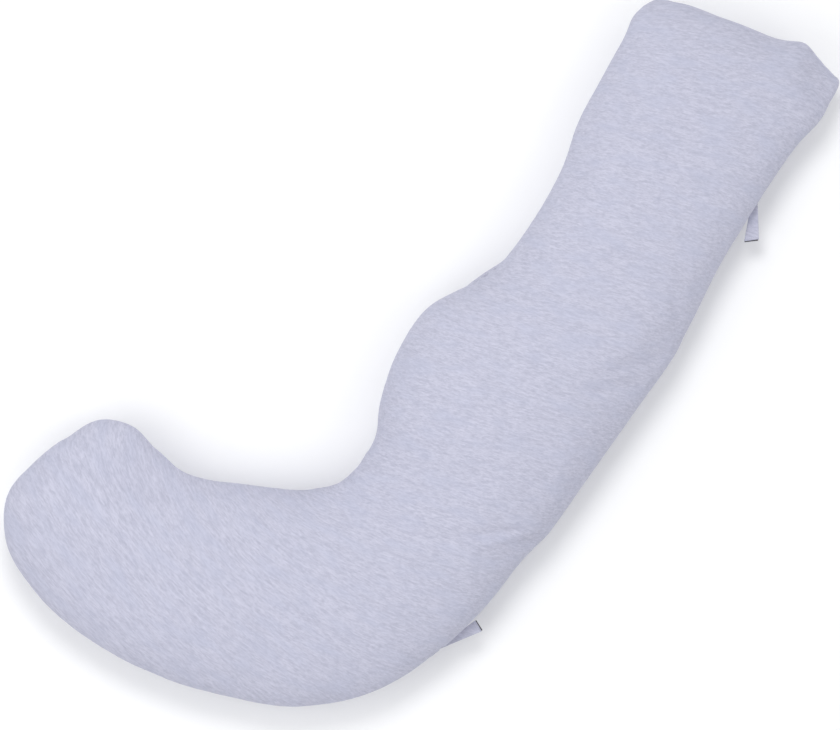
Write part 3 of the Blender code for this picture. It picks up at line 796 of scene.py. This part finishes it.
def converted(curve, name):
    """The curve's shape as a mesh object."""
    holder = linked(name + "_curve", curve)
    mesh = evaluated_mesh(holder)
    bpy.data.objects.remove(holder, do_unlink=True)
    bpy.data.curves.remove(curve)
    return linked(name, mesh)


def make_coil(word, side):
    low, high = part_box(f"zip_coil_{word}")
    reach = [low.z, high.z]
    reach[0 if side > 0 else 1] -= side * COIL_REACH
    middle = Vector(((low.x + high.x) / 2, 0.0, sum(reach) / 2))
    wide = (high.x - low.x) / 2 - WIRE
    tall = (reach[1] - reach[0]) / 2 - WIRE
    turns = (high.y - low.y - 2 * WIRE) / COIL_PITCH
    points = []
    for step in range(int(turns * COIL_POINTS) + 1):
        turn = 2.0 * math.pi * step / COIL_POINTS
        y = low.y + WIRE + COIL_PITCH * step / COIL_POINTS
        points.append((middle.x + wide * math.cos(turn), y, middle.z + side * tall * math.sin(turn)))
    coil = wire_object(f"zip_coil_{word}_wound", [points], WIRE)
    coil.data.shade_smooth()
    return coil


def plate(name, outlines, x, thick, bevel):
    """A flat plate in a plane of its own x, from closed outlines in y and z, with rounded edges."""
    curve = bpy.data.curves.new(name, "CURVE")
    curve.dimensions = "2D"
    curve.fill_mode = "BOTH"
    curve.extrude = thick / 2 - bevel
    curve.bevel_depth = bevel
    curve.bevel_resolution = 2
    curve.offset = -bevel
    for outline in outlines:
        spline = curve.splines.new("POLY")
        spline.points.add(len(outline) - 1)
        spline.use_cyclic_u = True
        for place, (y, z) in zip(spline.points, outline):
            place.co = (y, z, 0.0, 1.0)
    made = converted(curve, name)
    turn = Matrix(((0, 0, 1, x), (1, 0, 0, 0), (0, 1, 0, 0), (0, 0, 0, 1)))
    made.data.transform(turn)
    return made


def merged(name, objects):
    """One mesh object made of several."""
    bm = bmesh.new()
    for made in objects:
        bm.from_mesh(made.data)
        bpy.data.objects.remove(made, do_unlink=True)
    return bmesh_object(name, bm)


def rounded_outline(low, high, radius):
    """A rectangle with round corners, between two corners given in y and z."""
    points = []
    corners = (
        (high[0] - radius, high[1] - radius, 0.0),
        (low[0] + radius, high[1] - radius, 0.5),
        (low[0] + radius, low[1] + radius, 1.0),
        (high[0] - radius, low[1] + radius, 1.5),
    )
    for y, z, start in corners:
        for step in range(CORNER_STEPS + 1):
            angle = math.pi * (start + 0.5 * step / CORNER_STEPS)
            points.append((y + radius * math.cos(angle), z + radius * math.sin(angle)))
    return points


def shield_outline(low, high):
    """The slider's outline: square-shouldered at its leading end and drawn in at its trailing end."""
    middle, wide = (low.z + high.z) / 2, (high.z - low.z) / 2
    length = high.y - low.y
    upper = [(low.y + length * along, middle + wide * out) for along, out in SLIDER_EDGE]
    lower = [(y, 2 * middle - z) for y, z in reversed(upper)]
    return upper + lower


def make_slider():
    low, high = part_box("zip_slider")
    outline = shield_outline(low, high)
    outer_x = high.x - BRIDGE_HEIGHT - SLIDER_PLATE / 2
    inner_x = low.x + SLIDER_PLATE / 2
    middle = Vector(((low.x + high.x) / 2, (low.y + high.y) / 2, (low.z + high.z) / 2))
    plates = [
        plate("slider_plate", [outline], outer_x, SLIDER_PLATE, SLIDER_BEVEL),
        plate("slider_back", [outline], inner_x, SLIDER_PLATE, SLIDER_BEVEL),
    ]
    half = NECK_WIDTH / 2
    back, front = (middle.y + NECK_SHORT, middle.z - half), (high.y - NECK_SHORT, middle.z + half)
    wedge = rounded_outline(back, front, half * 0.8)
    plates.append(plate("slider_neck", [wedge], (outer_x + inner_x) / 2, outer_x - inner_x, NECK_BEVEL))
    slider = merged("zip_slider_cast", plates + make_bridge(outer_x + BRIDGE_FOOT, high.x, middle))
    shade_by_angle(slider)
    return slider


def make_bridge(foot, high, middle):
    """The arch that the pull hangs in: three wires side by side."""
    top = high - BRIDGE_WIRE
    arch = []
    for step in range(BRIDGE_STEPS + 1):
        angle = math.pi * step / BRIDGE_STEPS
        rise = max(0.0, math.sin(angle)) ** 0.5
        arch.append((foot + (top - foot) * rise, middle.y - BRIDGE_REACH * math.cos(angle), middle.z))
    return [
        wire_object(f"slider_bridge_{number}", [[(x, y, z + shift) for x, y, z in arch]], BRIDGE_WIRE)
        for number, shift in enumerate((-BRIDGE_APART, 0.0, BRIDGE_APART))
    ]


def shade_by_angle(obj, degrees=35.0):
    obj.data.shade_smooth()
    obj.data.set_sharp_from_angle(angle=math.radians(degrees))


def make_pull():
    low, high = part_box("zip_pull")
    joint = next(item for item in frame["joints"] if item["name"] == "zip_pull_swing")
    pin = Vector(joint["pos_m"])
    fork = pin.y - PULL_FORK
    tag = rounded_outline((low.y, low.z), (fork + PULL_OVERLAP, high.z), PULL_CORNER)
    slot_low = (low.y + SLOT_FROM_END, pin.z - SLOT_HALF)
    slot_high = (fork - SLOT_FROM_FORK, pin.z + SLOT_HALF)
    slot = rounded_outline(slot_low, slot_high, SLOT_CORNER)
    arms = [
        rounded_outline((fork - ARM_BACK, edge), (high.y, edge + PULL_ARM), ARM_CORNER)
        for edge in (low.z, high.z - PULL_ARM)
    ]
    pieces = [plate("pull_tag", [tag, slot], pin.x, PULL_THICK, PULL_BEVEL)]
    for number, arm in enumerate(arms):
        pieces.append(plate(f"pull_arm_{number}", [arm], pin.x, PULL_THICK * ARM_THIN, ARM_BEVEL))
    bar = [(pin.x, pin.y, low.z + BAR_SHORT), (pin.x, pin.y, high.z - BAR_SHORT)]
    pieces.append(wire_object("pull_bar", [bar], BAR_RADIUS))
    pull = merged("zip_pull_tag", pieces)
    shade_by_angle(pull)
    return pull


def add_stitch(bm, matrix):
    bmesh.ops.create_uvsphere(bm, u_segments=8, v_segments=6, radius=1.0, matrix=matrix)


def make_stitching(panels):
    """Two rows of lockstitch that hold the zip's tapes to the cover, laid on its simulated surface."""
    low, high = zip_range()
    bpy.context.view_layer.update()
    bm = bmesh.new()
    outside = CAD_BOX[1].x + 0.05
    size = Matrix.Diagonal((STITCH_RADIUS, STITCH_LENGTH / 2, STITCH_RADIUS, 1.0))
    count = int((high - low + 2 * STITCH_PAST) / STITCH_PERIOD)
    for panel, side in zip(panels, (1.0, -1.0)):
        z = SEAM_Z + side * (ZIP_HALF_GAP + STITCH_FROM_GAP)
        for number in range(count):
            y = low - STITCH_PAST + STITCH_PERIOD * (number + 0.5)
            hit, place, normal, _ = panel.ray_cast(Vector((outside, y, z)), Vector((-1.0, 0.0, 0.0)))
            if hit:
                add_stitch(bm, Matrix.Translation(place + normal * STITCH_RADIUS * STITCH_PROUD) @ size)
    made = bmesh_object("zip_stitching", bm)
    made.data.shade_smooth()
    return made


# The two tabs: folded straps with rounded edges, each with a dark patch under its free end.

STRAP_STEPS, STRAP_RING = 26, 20
STRAP_BACK = 0.005  # how far the strap reaches back into the seam
TAB_STITCH_IN = 0.0042  # the stitch line's distance from the tab's end
TAB_STITCH_SPAN = (0.08, 0.92)  # shares of the tab's width
TAB_STITCH_PITCH, TAB_STITCH_PROUD = 1.25, 0.1
STRAP_SQUARE, STRAP_FLAT = 0.35, 0.8  # powers that square off the strap's section
STRAP_TAPER, PATCH_TAPER = 0.5, 0.7
PATCH_SHARE, PATCH_STEPS = 0.34, 12
PATCH_PAST, PATCH_MARGIN = 0.0016, 0.0010  # past the strap's end, and in from its sides
LABEL_THICK, LABEL_CURL = 0.0004, 0.0016


def tab_frame(name):
    """The tab's root and tip corners in plan, each as far and near ends, from its CAD strap."""
    node = frame["nodes"][f"{name}_strap"]
    corners = sorted({(round(vert.co.x, 6), round(vert.co.y, 6)) for vert in node.data.vertices})
    joint = next(item for item in frame["joints"] if item["child"] == name)
    pin = Vector(joint["pos_m"][:2])
    points = sorted((Vector(corner) for corner in corners), key=lambda corner: (corner - pin).length)
    root, tip = points[:2], points[2:]
    far, near_end = sorted(root, key=lambda corner: abs(corner.y), reverse=True)
    tip_near, tip_far = sorted(tip, key=lambda corner: corner.x)
    return far, near_end, tip_near, tip_far


def tab_places(name, share, across):
    """Plan of the tab: share of its length from the root, and across from its far side to its near one."""
    far, near_end, tip_near, tip_far = tab_frame(name)
    left, right = far.lerp(tip_far, share), near_end.lerp(tip_near, share)
    return left.lerp(right, across)


def strap_mesh(made_name, name, shares, z, thick, taper, margin):
    """A flat tube of rounded section along the tab, closed at both ends, which are thinner by taper."""
    far, near_end, tip_near, tip_far = tab_frame(name)
    count = len(shares)
    points, faces = [], []
    for number, share in enumerate(shares):
        left, right = far.lerp(tip_far, share), near_end.lerp(tip_near, share)
        middle, reach = (left + right) / 2, (right - left) / 2
        reach = reach * (1.0 - margin / reach.length)
        end = min(number, count - 1 - number) / 2.0
        slim = taper + (1.0 - taper) * min(1.0, end) ** 0.5
        for step in range(STRAP_RING):
            angle = 2.0 * math.pi * step / STRAP_RING
            wide = math.copysign(abs(math.cos(angle)) ** STRAP_SQUARE, math.cos(angle))
            tall = math.copysign(abs(math.sin(angle)) ** STRAP_FLAT, math.sin(angle))
            plan = middle + reach * wide
            points.append((plan.x, plan.y, z + tall * thick / 2 * slim))
    for row in range(count - 1):
        for step in range(STRAP_RING):
            after = (step + 1) % STRAP_RING
            below, above = row * STRAP_RING, (row + 1) * STRAP_RING
            faces.append((below + step, below + after, above + after, above + step))
    made = mesh_object(made_name, points, faces)
    bm = bmesh.new()
    bm.from_mesh(made.data)
    bmesh.ops.holes_fill(bm, edges=[edge for edge in bm.edges if edge.is_boundary], sides=0)
    bmesh.ops.recalc_face_normals(bm, faces=bm.faces)
    bm.to_mesh(made.data)
    bm.free()
    made.data.shade_smooth()
    return made


def tab_length(name):
    far, near_end, tip_near, tip_far = tab_frame(name)
    return ((tip_near + tip_far) / 2 - (far + near_end) / 2).length


def make_tab(name):
    low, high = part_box(f"{name}_strap")
    patch_low, patch_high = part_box(f"{name}_patch")
    length = tab_length(name)
    thick = high.z - low.z
    shares = np.linspace(-STRAP_BACK / length, 1.0, STRAP_STEPS)
    strap = strap_mesh(f"{name}_strap_sewn", name, shares, (low.z + high.z) / 2, thick, STRAP_TAPER, 0.0)
    shares = np.linspace(1.0 - PATCH_SHARE, 1.0 + PATCH_PAST / length, PATCH_STEPS)
    level, thick = (patch_low.z + patch_high.z) / 2, patch_high.z - patch_low.z
    patch = strap_mesh(f"{name}_patch_fuzzy", name, shares, level, thick, PATCH_TAPER, PATCH_MARGIN)
    stitches = tab_stitches(name, high.z, length)
    return strap, patch, stitches


def tab_stitches(name, top, length):
    """A row of stitches across the tab near its end."""
    bm = bmesh.new()
    share = 1.0 - TAB_STITCH_IN / length
    start, end = (tab_places(name, share, across) for across in TAB_STITCH_SPAN)
    across = (end - start).normalized()
    turn = Matrix.Rotation(math.atan2(across.y, across.x), 4, "Z")
    count = int((end - start).length / (STITCH_LENGTH * TAB_STITCH_PITCH))
    size = Matrix.Diagonal((STITCH_LENGTH / 2, STITCH_RADIUS, STITCH_RADIUS, 1.0))
    for number in range(count):
        spot = start.lerp(end, (number + 0.5) / count)
        place = Matrix.Translation((spot.x, spot.y, top + STITCH_RADIUS * TAB_STITCH_PROUD))
        add_stitch(bm, place @ turn @ size)
    made = bmesh_object(f"{name}_stitches", bm)
    made.data.shade_smooth()
    return made


def make_label():
    """The blank care label inside the cover: a thin ribbon with a slight curl."""
    low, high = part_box("care_label")
    bm = bmesh.new()
    bmesh.ops.create_grid(bm, x_segments=10, y_segments=12, size=0.5)
    for vert in bm.verts:
        y = low.y + (high.y - low.y) * (vert.co.x + 0.5)
        z = low.z + (high.z - low.z) * (vert.co.y + 0.5)
        drop = (high.z - z) / (high.z - low.z)
        vert.co = (high.x - LABEL_CURL * drop**2, y, z)
    bmesh.ops.recalc_face_normals(bm, faces=bm.faces)
    return thicken(bmesh_object("care_label_ribbon", bm), LABEL_THICK, 0.0)


# Materials.


def new_material(name, colour, roughness, metallic=0.0):
    made = bpy.data.materials.new(name)
    made.use_nodes = True
    shader = made.node_tree.nodes["Principled BSDF"]
    shader.inputs["Base Color"].default_value = (*colour, 1.0)
    shader.inputs["Roughness"].default_value = roughness
    shader.inputs["Metallic"].default_value = metallic
    return made, shader


def add_node(material, kind, **values):
    made = material.node_tree.nodes.new(kind)
    for name, value in values.items():
        setattr(made, name, value)
    return made


def link(material, source, target):
    material.node_tree.links.new(source, target)


def cloth_places(material, size, turn=0.0, label="fabric"):
    """The place in the cloth, turned and divided by the size of a pattern's repeat, in metres."""
    if label == "object":
        source = add_node(material, "ShaderNodeTexCoord").outputs["Object"]
    else:
        source = add_node(material, "ShaderNodeAttribute", attribute_name=label).outputs["Vector"]
    mapping = add_node(material, "ShaderNodeMapping", vector_type="TEXTURE")
    mapping.inputs["Rotation"].default_value = (0.0, 0.0, math.radians(turn))
    mapping.inputs["Scale"].default_value = size
    link(material, source, mapping.inputs["Vector"])
    return mapping.outputs["Vector"]


def noise_node(material, places, detail=3.0, roughness=0.6, distortion=0.0):
    made = add_node(material, "ShaderNodeTexNoise")
    made.inputs["Scale"].default_value = 1.0
    made.inputs["Detail"].default_value = detail
    made.inputs["Roughness"].default_value = roughness
    made.inputs["Distortion"].default_value = distortion
    link(material, places, made.inputs["Vector"])
    return made.outputs["Fac"]


def ramp(material, factor, low, high):
    """A factor stretched so that low becomes 0 and high becomes 1."""
    made = add_node(material, "ShaderNodeMapRange", interpolation_type="SMOOTHSTEP")
    made.inputs["From Min"].default_value = low
    made.inputs["From Max"].default_value = high
    link(material, factor, made.inputs["Value"])
    return made.outputs["Result"]


def blended(material, factor, first, second):
    """A colour between two, each a colour or a socket."""
    made = add_node(material, "ShaderNodeMix", data_type="RGBA")
    link(material, factor, made.inputs["Factor"])
    for name, value in (("A", first), ("B", second)):
        socket = next(item for item in made.inputs if item.name == name and item.type == "RGBA")
        if isinstance(value, tuple):
            socket.default_value = (*value, 1.0)
        else:
            link(material, value, socket)
    return next(item for item in made.outputs if item.type == "RGBA")


def maths(material, operation, first, second):
    made = add_node(material, "ShaderNodeMath", operation=operation)
    for socket, value in zip(made.inputs, (first, second)):
        if isinstance(value, float):
            socket.default_value = value
        else:
            link(material, value, socket)
    return made.outputs["Value"]


def bump(material, shader, height, distance, strength=1.0):
    made = add_node(material, "ShaderNodeBump")
    made.inputs["Distance"].default_value = distance
    made.inputs["Strength"].default_value = strength
    link(material, height, made.inputs["Height"])
    link(material, made.outputs["Normal"], shader.inputs["Normal"])


WAVE_SCALE = math.pi / 10.0  # at which the Wave texture has one ridge to a unit


def waves(material, places, direction="X", distortion=0.0):
    """Even ridges, one to each unit of places."""
    made = add_node(material, "ShaderNodeTexWave", wave_type="BANDS", bands_direction=direction)
    made.inputs["Scale"].default_value = WAVE_SCALE
    made.inputs["Distortion"].default_value = distortion
    link(material, places, made.inputs["Vector"])
    return made.outputs["Fac"]


JERSEY_DARK = (0.415, 0.420, 0.515)
JERSEY_LIGHT = (0.560, 0.560, 0.665)
JERSEY_COOL = (0.455, 0.475, 0.600)
STREAK_SIZE, STREAK_SHARE = (0.0150, 0.0034, 0.014), 0.54
FLECK_SIZE, FLECK_SHARE = (0.0058, 0.0014, 0.0055), 0.46
CLOUD_SIZE = (0.052, 0.021, 0.05)
WALE_SIZE = (0.0011, 0.0016, 0.01)


def jersey():
    """Brushed heather jersey: light and dark fibres lie in short streaks along the knit's courses."""
    made, shader = new_material("heather_jersey", JERSEY_LIGHT, 0.92)
    streaks = noise_node(made, cloth_places(made, STREAK_SIZE, STREAK_TURN), 4.0, 0.62, 0.35)
    flecks = noise_node(made, cloth_places(made, FLECK_SIZE, STREAK_TURN), 3.0, 0.65, 0.2)
    clouds = noise_node(made, cloth_places(made, CLOUD_SIZE, STREAK_TURN), 2.0, 0.5)
    long = maths(made, "MULTIPLY", streaks, STREAK_SHARE)
    short = maths(made, "MULTIPLY", flecks, FLECK_SHARE)
    mixed = maths(made, "ADD", long, short)
    base = blended(made, ramp(made, mixed, 0.33, 0.67), JERSEY_DARK, JERSEY_LIGHT)
    tint = maths(made, "MULTIPLY", ramp(made, clouds, 0.40, 0.75), 0.35)
    link(made, blended(made, tint, base, JERSEY_COOL), shader.inputs["Base Color"])
    wales = waves(made, cloth_places(made, WALE_SIZE, STREAK_TURN + 90.0), "X", 1.5)
    nap = maths(made, "ADD", maths(made, "MULTIPLY", wales, 0.35), flecks)
    bump(made, shader, nap, 0.0005, 0.55)
    shader.inputs["Sheen Weight"].default_value = 0.22
    shader.inputs["Sheen Roughness"].default_value = 0.45
    shader.inputs["Sheen Tint"].default_value = (0.86, 0.87, 0.97, 1.0)
    shader.inputs["Specular IOR Level"].default_value = 0.18
    return made


def woven(name, colour, shade, pitch, roughness, turn=0.0, label="object"):
    """Plain woven cloth: crossing yarns with slight unevenness."""
    made, shader = new_material(name, colour, roughness)
    warp = waves(made, cloth_places(made, (pitch, pitch, pitch), turn, label), "Y")
    weft = waves(made, cloth_places(made, (pitch, pitch, pitch), turn, label), "Z")
    uneven = noise_node(made, cloth_places(made, (pitch * 9, pitch * 3, pitch * 3), turn, label))
    yarns = maths(made, "MAXIMUM", warp, weft)
    mixed = maths(made, "MULTIPLY", yarns, uneven)
    link(made, blended(made, ramp(made, mixed, 0.1, 0.6), shade, colour), shader.inputs["Base Color"])
    bump(made, shader, yarns, pitch * 0.35, 0.7)
    shader.inputs["Specular IOR Level"].default_value = 0.2
    return made


def fibrous(name, colour, shade, size, roughness, depth, label="object"):
    """Loose or looped fibres that catch the light unevenly."""
    made, shader = new_material(name, colour, roughness)
    places = cloth_places(made, (size, size * 0.4, size * 0.6), 25.0, label)
    fibres = noise_node(made, places, 5.0, 0.7, 1.2)
    link(made, blended(made, ramp(made, fibres, 0.3, 0.7), shade, colour), shader.inputs["Base Color"])
    bump(made, shader, fibres, depth, 0.9)
    shader.inputs["Sheen Weight"].default_value = 0.15
    return made


def thread(name, colour, shade):
    """Sewing thread: fine twisted strands."""
    made, shader = new_material(name, colour, 0.55)
    strands = waves(made, cloth_places(made, (0.0005, 0.0005, 0.0005), 35.0, "object"), "DIAGONAL")
    link(made, blended(made, strands, shade, colour), shader.inputs["Base Color"])
    bump(made, shader, strands, 0.0001, 0.8)
    return made


def nylon():
    made, shader = new_material("coil_nylon", (0.50, 0.51, 0.62), 0.38)
    uneven = noise_node(made, cloth_places(made, (0.002, 0.002, 0.002), 0.0, "object"), 2.0)
    link(made, blended(made, uneven, (0.44, 0.45, 0.55), (0.56, 0.57, 0.69)), shader.inputs["Base Color"])
    return made


def nickel():
    """Satin nickel: soft brushing, and slight wear that makes it rougher in places."""
    made, shader = new_material("satin_nickel", (0.62, 0.61, 0.59), 0.3, 1.0)
    brushing = noise_node(made, cloth_places(made, (0.002, 0.006, 0.0002), 0.0, "object"), 3.0)
    wear = noise_node(made, cloth_places(made, (0.004, 0.004, 0.004), 0.0, "object"), 4.0)
    rough = add_node(made, "ShaderNodeMapRange")
    rough.inputs["To Min"].default_value = 0.22
    rough.inputs["To Max"].default_value = 0.46
    link(made, wear, rough.inputs["Value"])
    link(made, rough.outputs["Result"], shader.inputs["Roughness"])
    bump(made, shader, brushing, 0.00008, 0.5)
    return made


def satin():
    made, shader = new_material("label_satin", (0.88, 0.88, 0.87), 0.42)
    ribs = waves(made, cloth_places(made, (0.0004, 0.0004, 0.0004), 0.0, "object"), "Z")
    link(made, blended(made, ribs, (0.82, 0.82, 0.81), (0.90, 0.90, 0.89)), shader.inputs["Base Color"])
    bump(made, shader, ribs, 0.00008, 0.6)
    return made


def dress(obj, material):
    obj.data.materials.clear()
    obj.data.materials.append(material)


# The floor, the lights and the camera.

VIEW_UP = Vector((-0.5779, 0.8161, 0.0))  # the picture's up and left, in plan
VIEW_LEFT = Vector((-0.8161, -0.5779, 0.0))
VIEW_CENTRE = Vector((0.0454, -0.0535, 0.080))
CAMERA_HEIGHT = 4.5
FOCAL, SENSOR = 120.5, 36.0


def area_light(name, direction, elevation, distance, size, watts):
    lamp = bpy.data.lights.new(name, "AREA")
    lamp.shape = "DISK"
    lamp.size = size
    lamp.energy = watts
    made = linked(name, lamp)
    level = direction.normalized() * math.cos(math.radians(elevation))
    away = level + Vector((0.0, 0.0, math.sin(math.radians(elevation))))
    made.location = VIEW_CENTRE + away * distance
    made.rotation_euler = away.to_track_quat("Z", "Y").to_euler()


def make_studio():
    bpy.ops.mesh.primitive_plane_add(size=14.0, location=(0.0, 0.0, -0.0004))
    floor = bpy.context.object
    floor.name = "studio_floor"
    white, _ = new_material("studio_white", (0.93, 0.93, 0.93), 0.95)
    dress(floor, white)
    key = VIEW_UP * 0.986 + VIEW_LEFT * 0.168
    fill = VIEW_LEFT - VIEW_UP * 0.6
    side = -VIEW_LEFT - VIEW_UP * 0.2
    area_light("key", key, elevation=66.0, distance=3.2, size=1.1, watts=31.0)
    area_light("fill", fill, elevation=55.0, distance=2.3, size=2.0, watts=12.0)
    area_light("side", side, elevation=50.0, distance=2.6, size=1.6, watts=6.0)
    world = bpy.data.worlds.new("studio_air")
    world.use_nodes = True
    air = world.node_tree.nodes["Background"]
    air.inputs["Color"].default_value = (0.97, 0.98, 1.0, 1.0)
    air.inputs["Strength"].default_value = 0.74
    bpy.context.scene.world = world
    bpy.context.scene.view_settings.view_transform = "Standard"


def make_camera():
    lens = bpy.data.cameras.new("camera")
    lens.lens = FOCAL
    lens.sensor_width = SENSOR
    lens.clip_end = 50.0
    camera = linked("camera", lens)
    camera.location = VIEW_CENTRE + Vector((0.0, 0.0, CAMERA_HEIGHT))
    camera.rotation_euler = (0.0, 0.0, math.atan2(-VIEW_UP.x, VIEW_UP.y))
    bpy.context.scene.camera = camera


# Putting it all together: each piece's material, the body it rides on and the CAD node it stands for.


def place(obj, material, body, slot, *nodes):
    dress(obj, material)
    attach(obj, body)
    if nodes:
        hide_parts(*nodes)


def place_soft_parts(panels, shape):
    cloth = jersey()
    cotton = woven("casing_cotton", (0.84, 0.84, 0.82), (0.72, 0.72, 0.70), 0.0007, 0.9)
    for panel, size, area in zip(panels, COVER_FLAT, COVER_AREA):
        place(panel, cloth, "pillow", "cover_jersey", f"{panel.name}_panel")
    casings, fill = make_inside(shape)
    for casing in casings:
        place(casing, cotton, "pillow", "casing_cotton", f"{casing.name}_panel")
    fibre = fibrous("hollow_fibre", (0.92, 0.92, 0.91), (0.78, 0.78, 0.78), 0.004, 1.0, 0.002)
    place(fill, fibre, "pillow", "fibre_fill", "fill_core")
    sewn = thread("seam_thread", (0.52, 0.53, 0.64), (0.40, 0.41, 0.50))
    overlock = seam_band("seam_overlock", shape, *OVERLOCK, whole=False)
    place(overlock, sewn, "pillow", "cover_thread", "cover_seam")
    edge = seam_band("casing_edge", shape, *CASING_EDGE, whole=True)
    place(edge, cotton, "pillow", "casing_cotton", "casing_seam")


def place_zip(panels):
    metal, coil = nickel(), nylon()
    tape = woven("zip_tape_weave", (0.54, 0.55, 0.67), (0.40, 0.41, 0.50), 0.0008, 0.85)
    sewn = thread("zip_thread", (0.60, 0.60, 0.71), (0.46, 0.47, 0.56))
    for word, side in (("upper", 1), ("lower", -1)):
        place(make_coil(word, side), coil, "pillow", "zip_coil", f"zip_coil_{word}")
        dress(frame["nodes"][f"zip_tape_{word}"], tape)
        dress(frame["nodes"][f"zip_top_stop_{word}"], metal)
    dress(frame["nodes"]["zip_bottom_stop"], metal)
    place(make_slider(), metal, "zip_slider", "zip_metal", "zip_slider")
    place(make_pull(), metal, "zip_pull", "zip_metal", "zip_pull")
    place(make_stitching(panels), sewn, "pillow", "cover_thread")


def place_tabs():
    cloth = bpy.data.materials["heather_jersey"]
    dark = fibrous("hook_and_loop", (0.045, 0.046, 0.055), (0.012, 0.012, 0.015), 0.0009, 0.95, 0.0006)
    sewn = thread("tab_thread", (0.70, 0.70, 0.80), (0.52, 0.52, 0.62))
    for name in ("upper_tab", "lower_tab"):
        strap, patch, stitches = make_tab(name)
        add_attribute(strap.data, "fabric", coordinates(strap.data))
        dress(strap, cloth)
        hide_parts(f"{name}_strap")
        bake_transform(strap)
        place(patch, dark, name, "tab_patch", f"{name}_patch")
        place(stitches, sewn, name, "cover_thread")


COVER_FLAT = ((0.86, 1.60), (0.86, 1.58))
COVER_AREA = (0.71, 0.67)


def main():
    make_studio()
    make_camera()
    panels, shape = make_cover()
    place_soft_parts(panels, shape)
    place_zip(panels)
    place_tabs()
    label = make_label()
    place(label, satin(), "pillow", "label_satin", "care_label")


main()
